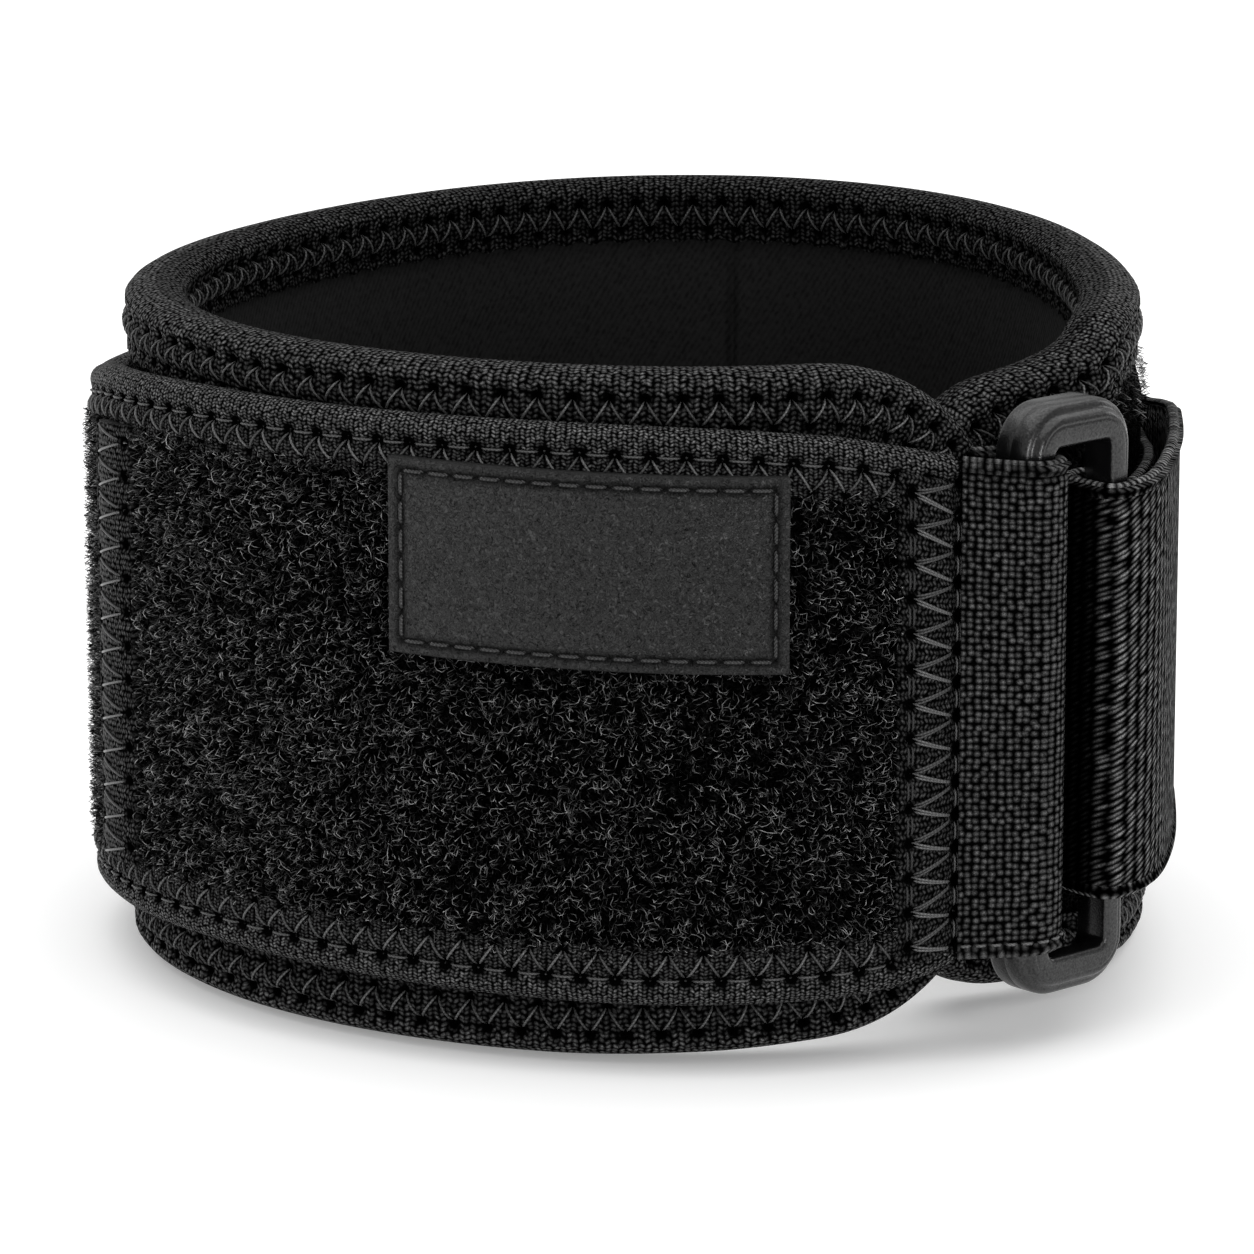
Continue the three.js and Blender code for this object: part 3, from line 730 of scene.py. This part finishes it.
# Label: a rectangle of fine-grained leatherette with a cut edge, sewn to the pile round its border.
LABEL_FROM = 245
LABEL_TO = 282.5
LABEL_LOW = 30.65
LABEL_HIGH = 45.05
LABEL_FALL = 0.65
LABEL_LIFT = 0.85
LABEL_THICK = 0.8
LABEL_BORDER = 0.95
LABEL_PITCH = 2.0
LABEL_SPOTS = 70
LABEL_BAYS = 130


def grain_height(tree):
    # Leather grain: fine creases about 0.3 mm apart
    place = add(tree, "ShaderNodeTexCoord", {})["Object"]
    grain = {"Vector": place, "Scale": 3600.0, "Detail": 4.0, "Roughness": 0.7, "Distortion": 1.5}
    noise = add(tree, "ShaderNodeTexNoise", grain)[0]
    spread = {0: noise, 1: 3.2, 2: -0.95}
    level = add(tree, "ShaderNodeMath", spread, operation="MULTIPLY_ADD", use_clamp=True)["Value"]
    return level, level


leatherette = finish_material("leatherette", grain_height, ("#060606", "#303030"), 0.2, 0.5, 0.5)
cut_edge = finish_material("cut leatherette edge", grain_height, ("#1c1c1c", "#2c2c2c"), 0.05, 0.7, 0.2)
label_thread = finish_material("label thread", thread_height, ("#010101", "#262626"), 0.08, 0.3, 0.6)

label_middle = np.array((LABEL_FROM + LABEL_TO) / 2)
label_reach = np.linalg.norm(wall(label_middle, 6.0, 0.0)[:2] - np.array(CENTRE))
LABEL_WIDTH = np.radians(LABEL_TO - LABEL_FROM) * label_reach
LABEL_HEIGHT = LABEL_HIGH - LABEL_LOW


def place_label(u, v, w):
    """A point on the label: u along it from the left, v up from its lower edge, w above its back."""
    share = u / LABEL_WIDTH
    angle = LABEL_FROM + (LABEL_TO - LABEL_FROM) * share
    inner = read_table(PANEL_RUN, angle)[0]
    return wall(angle, inner + PANEL_WALL + LABEL_LIFT + w, LABEL_LOW + v - LABEL_FALL * share)


def label_face(u, v):
    to_edge = np.minimum(np.minimum(u, LABEL_WIDTH - u), np.minimum(v, LABEL_HEIGHT - v))
    groove = 0.2 * np.exp(-((to_edge - LABEL_BORDER) / 0.3) ** 2)
    return LABEL_THICK - groove


def put_label(station, spot):
    u = LABEL_WIDTH * station / LABEL_BAYS
    spot = spot % (LABEL_SPOTS + 6)
    rise = np.clip(spot / (LABEL_SPOTS - 1), 0, 1)
    v = 0.12 + (LABEL_HEIGHT - 0.24) * rise
    w = label_face(u, v)
    for at, edge_v, edge_w in (
        (0, LABEL_HEIGHT - 0.03, LABEL_THICK - 0.09), (1, LABEL_HEIGHT, LABEL_THICK - 0.2),
        (2, LABEL_HEIGHT, 0.0), (3, 0.0, 0.0), (4, 0.0, LABEL_THICK - 0.2), (5, 0.03, LABEL_THICK - 0.09),
    ):
        here = spot == LABEL_SPOTS + at
        v = np.where(here, edge_v, v)
        w = np.where(here, edge_w, w)
    # Painted shade darkens the groove round the border
    painted_shade_and_tone = np.clip((LABEL_THICK - label_face(u, v)) * 4, 0, 0.9)
    return place_label(u, v, w), np.stack([u, v], axis=-1), painted_shade_and_tone


label_skin = [0] * (LABEL_SPOTS - 1) + [1] * 7
label = sweep("label_leatherette", LABEL_BAYS + 1, LABEL_SPOTS + 6, put_label, skin=label_skin)
dress(label, [leatherette, cut_edge], "leatherette", "label_patch")

border = []
t = np.linspace(0, 1, 7)
dip = 0.1 - 0.22 * np.abs(2 * t - 1) ** 5
left, right = LABEL_BORDER, LABEL_WIDTH - LABEL_BORDER
lower, upper = LABEL_BORDER, LABEL_HEIGHT - LABEL_BORDER
for start, end in (
    ((left, upper), (right, upper)), ((left, lower), (right, lower)),
    ((left, lower), (left, upper)), ((right, lower), (right, upper)),
):
    start = np.array(start)
    end = np.array(end)
    stitches = round(np.linalg.norm(end - start) / LABEL_PITCH)
    share = (np.arange(stitches)[:, None] + 0.08 + 0.84 * t) / stitches
    u = start[0] + (end[0] - start[0]) * share
    v = start[1] + (end[1] - start[1]) * share
    border.append(laid_on(place_label, u, v, label_face(u, v) + dip))
border_thread = strands("label_thread", 0.32, 6, *joined(border))
dress(border_thread, [label_thread], "leatherette", "label_patch")

# Buckle: a rectangular ring moulded in dark grey plastic, with a parting line round its outside and a
# stepped bevel before the flat front face.
BUCKLE_X = 30.05
BUCKLE_Y = -33.87
BUCKLE_TURN = np.radians(42)
BUCKLE_MIDDLE = 25.8
BUCKLE_OUTSIDE = (10.85, 44.2, 3.7)
BUCKLE_WINDOW = (5.75, 38.1, 0.6)
# Section of a bar: from the window, -1, to the outside, 1, and the distance out of the ring's plane
BUCKLE_SECTION = np.array([
    (1.0, -1.5), (1.0, -0.9), (1.0, -0.35), (0.985, -0.3), (0.985, -0.26), (1.0, -0.21), (1.0, 0.3),
    (0.99, 0.75), (0.94, 1.0), (0.85, 1.18), (0.74, 1.28), (0.64, 1.32), (0.56, 1.38), (0.5, 1.5),
    (0.45, 1.65), (0.38, 1.8), (0.28, 1.91), (0.17, 1.97), (0.1, 1.96), (0.06, 1.95), (0.02, 1.98),
    (-0.1, 2.0), (-0.66, 2.0), (-0.82, 1.97), (-0.92, 1.88), (-0.98, 1.75), (-1.0, 1.6), (-1.0, 0.5),
    (-0.95, 0.1), (-0.8, -0.4), (-0.5, -1.2), (-0.3, -1.7), (-0.1, -1.95), (0.1, -2.0), (0.6, -2.0),
    (0.82, -1.94), (0.95, -1.78),
])


def speckled(scale, detail):
    def height(tree):
        place = add(tree, "ShaderNodeTexCoord", {})["Object"]
        level = add(tree, "ShaderNodeTexNoise", {"Vector": place, "Scale": scale, "Detail": detail})[0]
        return level, level

    return height


# Spark-eroded mould finish: grain about 0.15 mm across
plastic = finish_material("moulded plastic", speckled(6000.0, 2.0), ("#060606", "#0a0a0b"), 0.02, 0.27, 1.0)


def buckle_floor(along, out):
    """A point of the buckle's own plan: along its width and out of its plane."""
    x = BUCKLE_X + along * np.cos(BUCKLE_TURN) + out * np.sin(BUCKLE_TURN)
    y = BUCKLE_Y + along * np.sin(BUCKLE_TURN) - out * np.cos(BUCKLE_TURN)
    return CENTRE[0] + x, CENTRE[1] + y


BUCKLE_CORNER_STATIONS = 13


def round_corner(outline, right, upper, turn):
    """A point on a rounded rectangle's corner, given its width, height and corner radius."""
    width, height, radius = outline
    along = right * (width / 2 - radius) + radius * np.cos(turn)
    return along, upper * (height / 2 - radius) + radius * np.sin(turn)


def put_buckle(station, spot):
    station = station % (4 * BUCKLE_CORNER_STATIONS)
    quarter = station // BUCKLE_CORNER_STATIONS
    turn = np.pi / 2 * (quarter + station % BUCKLE_CORNER_STATIONS / (BUCKLE_CORNER_STATIONS - 1))
    right = np.array([1, -1, -1, 1])[quarter]
    upper = np.array([1, 1, -1, -1])[quarter]
    outward, out = BUCKLE_SECTION[spot % len(BUCKLE_SECTION)].T
    share = (outward + 1) / 2
    inner_along, inner_up = round_corner(BUCKLE_WINDOW, right, upper, turn)
    outer_along, outer_up = round_corner(BUCKLE_OUTSIDE, right, upper, turn)
    along = inner_along + (outer_along - inner_along) * share
    up = inner_up + (outer_up - inner_up) * share
    x, y = buckle_floor(along, out)
    points = np.stack([x, y, BUCKLE_MIDDLE + up], axis=-1)
    return points, np.stack([turn * 3, out], axis=-1)


buckle = sweep("buckle_ring", 4 * BUCKLE_CORNER_STATIONS, len(BUCKLE_SECTION), put_buckle, closed=True)
dress(buckle, [plastic], "buckle_plastic", "strap_buckle")

# Buckle tab: 37 mm woven webbing looped round the buckle's left bar, its two ends sewn to the panel. Its
# floats lie in straight rows, and its edges are thick selvedges, the lower one with stitches beside it.
TAB_THICK = 1.0
TAB_LOW = 7.3
TAB_HIGH = 44.8
TAB_RIB = 0.5
TAB_FLOAT = 0.58
TAB_CHAIN = 1.1
SELVEDGE = 1.1
SELVEDGE_RIB = 0.6
TAB_FRONT = [(299.75, 5.45), (302.7, 7.25)]
TAB_LOOP = [
    (-5.1, 2.7), (-3.7, 2.75), (-2.72, 2.25), (-2.35, 1),
    (-2.35, -1), (-2.72, -2.25), (-3.7, -2.75), (-4.9, -2.75),
]
TAB_BACK = [(302.7, 3.35)]


def webbing_height(tall, pick, rib, climb, variety, sharp):
    """The finish of a webbing: floats one pick long, in rows a rib apart that climb to the right, and
    between them and each edge a selvedge of upright ribs."""

    def height(tree):
        values = yarn_bumps(tree, [
            ("other", "SUBTRACT", tall, "v"), ("edge", "MINIMUM", "v", "other"),
            ("selvedge", "LESS_THAN", "edge", SELVEDGE), ("body", "SUBTRACT", 1.0, "selvedge"),
            ("climbed", "MULTIPLY", "u", climb), ("row", "SUBTRACT", "v", "climbed"),
            ("rows", "DIVIDE", "row", rib), ("rim", "DIVIDE", "edge", SELVEDGE),
            ("shown_rows", "MULTIPLY", "rows", "body"), ("shown_rim", "MULTIPLY", "rim", "selvedge"),
            ("y", "ADD", "shown_rows", "shown_rim"), ("floats", "DIVIDE", "u", pick),
            ("ribs", "DIVIDE", "u", SELVEDGE_RIB), ("shown_floats", "MULTIPLY", "floats", "body"),
            ("shown_ribs", "MULTIPLY", "ribs", "selvedge"), ("x", "ADD", "shown_floats", "shown_ribs"),
        ], 0.35, variety, sharp)
        return values["level"], values["pale"]

    return height


tab_weave = webbing_height(TAB_HIGH - TAB_LOW, TAB_FLOAT, TAB_RIB, 0, 0.45, 3.0)
webbing = finish_material("tab webbing", tab_weave, ("#030303", "#545454"), 0.3, 0.45, 0.3)


def smooth_route(points, spacing):
    """Evenly spaced points on a smooth line through the given ones, with the direction to its right."""
    points = np.array(points)
    points = np.concatenate([[2 * points[0] - points[1]], points, [2 * points[-1] - points[-2]]])
    before, here, there, after = points[:-3], points[1:-2], points[2:-1], points[3:]
    gaps = np.sqrt(np.linalg.norm(np.diff(points, axis=0), axis=1))[:, None]
    first, middle, last = gaps[:-2], gaps[1:-1], gaps[2:]
    leave = ((here - before) / first - (there - before) / (first + middle) + (there - here) / middle) * middle
    arrive = ((there - here) / middle - (after - here) / (middle + last) + (after - there) / last) * middle
    t = np.linspace(0, 1, 40, endpoint=False)[None, :, None]
    line = (
        here[:, None] * (1 + 2 * t) * (1 - t) ** 2 + leave[:, None] * t * (1 - t) ** 2
        + there[:, None] * t * t * (3 - 2 * t) + arrive[:, None] * t * t * (t - 1)
    ).reshape(-1, 2)
    line = np.concatenate([line, there[-1:]])
    along = lengths_along(line)
    steps = np.linspace(0, along[-1], round(along[-1] / spacing) + 1)
    line = np.stack([np.interp(steps, along, line[:, axis]) for axis in (0, 1)], axis=-1)
    ahead = np.gradient(line, axis=0)
    ahead /= np.linalg.norm(ahead, axis=1, keepdims=True)
    return steps, line, np.stack([ahead[:, 1], -ahead[:, 0]], axis=-1)


def strap(name, route, edges, thick, shade, face_spots, back_spots):
    """A woven strap along a route, with rolled edges and, on its face, thick selvedges with a groove beside
    each, darkened with painted shade. shade is how dark painted shade makes the face at every point of the
    route."""
    steps, line, sideways = route
    low, high = edges
    rolls = np.radians(np.linspace(-90, 90, 7)[1:-1])
    ring = face_spots + back_spots + 2 * len(rolls)
    tallest = (high - low).max()
    half = thick / 2

    def put(station, spot):
        spot = spot % ring
        top_spot = spot - face_spots
        back_spot = top_spot - len(rolls)
        low_spot = back_spot - back_spots
        face = top_spot < 0
        top = (top_spot >= 0) & (back_spot < 0)
        rolled = top | (low_spot >= 0)
        u = steps[station]
        bottom = low[station]
        tall = high[station] - bottom
        rise = np.where(face, spot / (face_spots - 1), (back_spots - 1 - back_spot) / (back_spots - 1))
        v = half + (tall - 2 * half) * rise
        edge = np.minimum(v, tall - v)
        selvedge = 0.25 * np.exp(-((edge - 0.5) / 0.4) ** 2)
        groove = np.exp(-((edge - 1.15) / 0.22) ** 2)
        out = np.where(face, half + selvedge - 0.14 * groove, -half)
        turn = rolls[np.clip(np.where(top, top_spot, low_spot), 0, len(rolls) - 1)]
        over = half * np.cos(turn)
        v = np.where(rolled, np.where(top, tall - half + over, half - over), v)
        out = np.where(rolled, half * np.sin(turn), out)
        flat = line[station] + sideways[station] * out[:, None]
        points = np.concatenate([flat, (bottom + v)[:, None]], axis=1)
        # Painted shade: in the groove beside each selvedge, and wherever the route asks for it
        painted_shade_and_tone = np.where(face, np.maximum(0.7 * groove, shade[station]), 0)
        return points, np.stack([u, v * tallest / tall], axis=-1), painted_shade_and_tone

    return sweep(name, len(steps), ring, put)


def on_wall(angle, offset):
    return tuple(wall(np.array(float(angle)), offset, 0.0)[:2])


tab_route = [on_wall(*spot) for spot in TAB_FRONT]
tab_route += [buckle_floor(*spot) for spot in TAB_LOOP]
tab_route += [on_wall(*spot) for spot in TAB_BACK]
tab_line = smooth_route(tab_route, 0.3)
tab_share = tab_line[0] / tab_line[0][-1]
tab_drawn = 0.4 * np.sin(np.pi * tab_share)
tab_edges = (TAB_LOW + tab_drawn, TAB_HIGH - tab_drawn)
tab = strap("buckle_tab_webbing", tab_line, tab_edges, TAB_THICK, 0 * tab_share, 110, 12)
dress(tab, [webbing], "webbing", "buckle_tab")

chain_u = (np.arange(8)[:, None] + 0.2 + 0.7 * np.linspace(0, 1, 6)) * TAB_CHAIN
chain_steps, chain_line, chain_out = tab_line
chain_x, chain_y = [np.interp(chain_u, chain_steps, chain_line[:, axis]) for axis in (0, 1)]
out_x, out_y = [np.interp(chain_u, chain_steps, chain_out[:, axis]) for axis in (0, 1)]
chain_z = np.interp(chain_u, chain_steps, tab_edges[0]) + 1.1
arch = TAB_THICK / 2 + 0.05 - 0.2 * np.abs(np.linspace(-1, 1, 6)) ** 4
chain_paths = np.stack([chain_x + out_x * arch, chain_y + out_y * arch, chain_z], axis=-1)
chain_normals = np.stack([out_x, out_y, 0 * chain_z], axis=-1)
chain = strands("buckle_tab_thread", 0.24, 6, chain_paths, chain_normals)
dress(chain, [thread], "webbing", "buckle_tab")

# Pull strap: narrower twill webbing sewn to the band at the back. It runs round the right side, through the
# buckle and back over itself, and has thick ribbed selvedges.
PULL_THICK = 1.0
PULL_END_CORNER = 5
PULL_INNER = [(-32, 3.4), (-22, 3.2), (-8, 3.2), (12, 3.2), (82, 3.2)]
PULL_LOOP = [
    (5.2, -2.95), (3.7, -2.85), (2.68, -2.35), (2.3, -1), (2.3, 1.4), (2.38, 1.95), (2.6, 2.32),
    (2.95, 2.54), (3.5, 2.6), (4.2, 2.58), (5.3, 2.42), (6.5, 2.05), (7.7, 1.48),
]
PULL_OUTER = [(-36, 8.2), (-30, 6.9), (-21, 5.6), (-13, 5), (-4, 4.9), (12, 4.7), (54, 4.6)]
# Angle, lower edge, upper edge
PULL_EDGES = [
    (-48, 10.35, 41.6), (-30, 10.4, 42), (-8, 10.8, 41.6), (0, 10.6, 40.8), (14, 10, 39.3),
    (54, 8.6, 38.2), (82, 7.8, 38.2),
]


def wall_route(rows):
    angle = np.linspace(rows[0][0], rows[-1][0], round((rows[-1][0] - rows[0][0]) / 6) + 1)
    return [tuple(point[:2]) for point in wall(angle, read_table(rows, angle)[0], 0.0)]


pull_route = wall_route(PULL_INNER)[::-1]
pull_route += [buckle_floor(*spot) for spot in PULL_LOOP]
pull_route += wall_route(PULL_OUTER)
pull_line = smooth_route(pull_route, 0.5)
pull_steps, pull_points, _ = pull_line
pull_angle = np.degrees(np.arctan2(pull_points[:, 1] - CENTRE[1], pull_points[:, 0] - CENTRE[0]))
pull_low, pull_high = read_table(PULL_EDGES, pull_angle)
pull_under = lengths_along(np.array(wall_route(PULL_INNER)))[-1]
pull_tucked = (1 - smooth(pull_steps, pull_under, pull_under + 8)) * (1 - smooth(pull_angle, -5, 20))
pull_high = pull_high - 3.2 * pull_tucked
pull_drop = corner_drop(pull_steps[-1] - pull_steps, PULL_END_CORNER)

# Painted shade darkens the strap's face where it lies behind the buckle, until it has turned round the bar
to_bar = np.linalg.norm(pull_points - np.array(buckle_floor(2.3, 1)), axis=1)
pull_turn = pull_steps[np.argmin(to_bar)]
behind = smooth(pull_steps, pull_turn - 26, pull_turn - 14)
turned = smooth(pull_steps, pull_turn - 0.4, pull_turn + 2.2)
pull_shade = 0.97 * behind * (1 - turned)
pull_edges = (pull_low + pull_drop, pull_high - pull_drop)
pull_weave = webbing_height((pull_high - pull_low).max(), 1.15, 0.44, 0.5, 0.5, 4.0)
twill = finish_material("strap webbing", pull_weave, ("#010101", "#909090"), 0.5, 0.6, 0.1)
pull = strap("pull_strap_webbing", pull_line, pull_edges, PULL_THICK, pull_shade, 70, 14)
dress(pull, [twill], "webbing", "pull_strap")

# Loop pile: curled nylon fibres brushed up from the panel's face and from the band's outside.
FIBRE = 0.06


# Nylon fibres of random shades, from black to grey, with painted glints along them
fibre = finish_material("nylon fibre", speckled(1500.0, 1.0), ("#010101", "#e8e8e8"), 0.0, 0.4, 0.8)


def beside_wall(angle, z, offset):
    return wall(angle, offset, z)


def pile(name, seed, count, points, angles, crowd, edges, offset, keep, slot, node):
    """Curled fibres scattered over the wall between two angles and between two edges. More points curl more,
    and a crowd above 1 draws them towards the second angle."""
    rng = np.random.default_rng(seed)
    angle = angles[1] - (angles[1] - angles[0]) * rng.uniform(0, 1, count) ** crowd
    low, high = edges(angle)
    z = low + (high - low) * rng.uniform(0, 1, count)
    shown = keep(angle, z)
    angle = angle[shown]
    z = z[shown]
    count = len(angle)
    t = np.linspace(0, 1, points)
    heading = rng.uniform(0, 2 * np.pi, count)
    curl = rng.uniform(0.2, 0.75, count) * rng.choice([-1, 1], count) * points
    length = rng.uniform(0.15, 0.32, count) * points
    bend = heading[:, None] + curl[:, None] * t + rng.uniform(-0.7, 0.7, (count, points))
    step = (length / (points - 1))[:, None]
    along = np.cumsum(np.cos(bend) * step, axis=1)
    up = np.cumsum(np.sin(bend) * step, axis=1)
    height = rng.uniform(0.3, 0.9, count)[:, None] * np.sin(np.pi * (0.04 + 0.92 * t)) ** 0.7
    angle = angle[:, None] + along / PANEL_PER_DEGREE
    z = z[:, None] + up
    rise = offset(angle, z) + height - 0.12
    # Each fibre gets a random tone, and points along it get painted glints
    glint = rng.uniform(0, 1, (count, 1)) ** 2.5 * rng.uniform(0, 1.4, (count, points)) ** 2
    piece = strands(name, FIBRE, 3, *laid_on(beside_wall, angle, z, rise), 1 - np.minimum(glint, 1))
    dress(piece, [fibre], slot, node)


def panel_edges(angle):
    low, high = read_table(PANEL_RUN, angle)[1:]
    return low + 3.9, high - 3.9


def panel_offset(angle, z):
    return read_table(PANEL_RUN, angle)[0] + PANEL_WALL


def beside_label(angle, z):
    within = (angle > LABEL_FROM + 1.5) & (angle < LABEL_TO - 1.5)
    return ~(within & (z > LABEL_LOW + 0.6) & (z < LABEL_HIGH - 1.2))


def band_face_edges(angle):
    low, high = read_table(BAND_EDGES, angle)
    return low + 4.6, high - 4.6


def band_face_offset(angle, z):
    low, high = read_table(BAND_EDGES, angle)
    inside = np.minimum(z - low, high - z) - FOAM_INSET
    return FOAM_HALF + band_bulge(angle, inside) + band_flare(angle, z) + band_offset(angle)


def off_strap(angle, z):
    low, high = read_table(PULL_EDGES, angle)
    return (z < low + 1) | (z > high - 1)


for name, seed, count, points, angles, crowd in (
    ("panel_pile_front_left", 11, 11000, 3, (207.6, 250), 1),
    ("panel_pile_front_right", 12, 11000, 3, (250, 294.2), 1),
    ("panel_loops_front_left", 21, 2600, 6, (207.6, 250), 1),
    ("panel_loops_front_right", 22, 2600, 6, (250, 294.2), 1),
    ("panel_pile_left", 13, 9500, 3, (78, 199), 1.9),
):
    pile(
        name, seed, count, points, angles, crowd, panel_edges, panel_offset, beside_label,
        "loop_pile", "loop_panel",
    )
pile(
    "band_pile", 14, 6500, 3, (-34, 76), 1, band_face_edges, band_face_offset, off_strap,
    "neoprene", "neoprene_band",
)

# Studio: a white floor under a key light beside the camera, two weak lights at the sides and a broad one
# above, seen from the photograph's place.
FLOOR_DROP = -0.3
white = bpy.data.materials.new("studio white")
white_tree = empty_tree(white)
matt = {
    "Base Color": linear("#f4f4f4"), "Roughness": 1.0,
    "Emission Color": linear("#ffffff"), "Emission Strength": 0.2,
}
white_surface = add(white_tree, "ShaderNodeBsdfPrincipled", matt)["BSDF"]
add(white_tree, "ShaderNodeOutputMaterial", {"Surface": white_surface})
bm = bmesh.new()
bmesh.ops.create_grid(bm, x_segments=1, y_segments=1, size=4.0)
bmesh.ops.translate(bm, verts=bm.verts, vec=(0, 0, FLOOR_DROP * MM))
floor_mesh = bpy.data.meshes.new("floor")
bm.to_mesh(floor_mesh)
bm.free()
floor_mesh.materials.append(white)
floor = show("floor", floor_mesh)
floor.visible_diffuse = False

scene = bpy.context.scene
world = bpy.data.worlds.new("studio")
world_tree = empty_tree(world)
sky = add(world_tree, "ShaderNodeBackground", {"Color": linear("#ffffff"), "Strength": 0.6})["Background"]
add(world_tree, "ShaderNodeOutputWorld", {"Surface": sky})
scene.world = world
for name, place, aim, size, power in (
    ("key", (0.25, -0.88, 0.1), (0, 0, 0.03), 0.4, 3.6),
    ("left", (-0.6, 0.1, 0.1), (0, 0, 0.02), 0.3, 0.8),
    ("right", (0.6, 0.3, 0.3), (0, 0, 0.02), 0.3, 0.6),
    ("top", (0.0, 0.1, 1.2), (0, 0.05, 0.0), 2.0, 17.0),
):
    lamp = bpy.data.lights.new(name, "AREA")
    lamp.size = size
    lamp.energy = power
    light = show(name, lamp)
    towards = Vector(aim) - Vector(place)
    light.matrix_world = Matrix.Translation(place) @ towards.to_track_quat("-Z", "Y").to_matrix().to_4x4()

lens = bpy.data.cameras.new("photo camera")
lens.sensor_width = 36
lens.lens = 203.02
lens.clip_start = 0.01
camera = show("photo camera", lens)
camera.location = (-0.000271, -0.53478, 0.15148)
camera.rotation_euler = (np.radians(90 - 13.55), 0, 0)
scene.camera = camera
scene.view_settings.view_transform = "Standard"
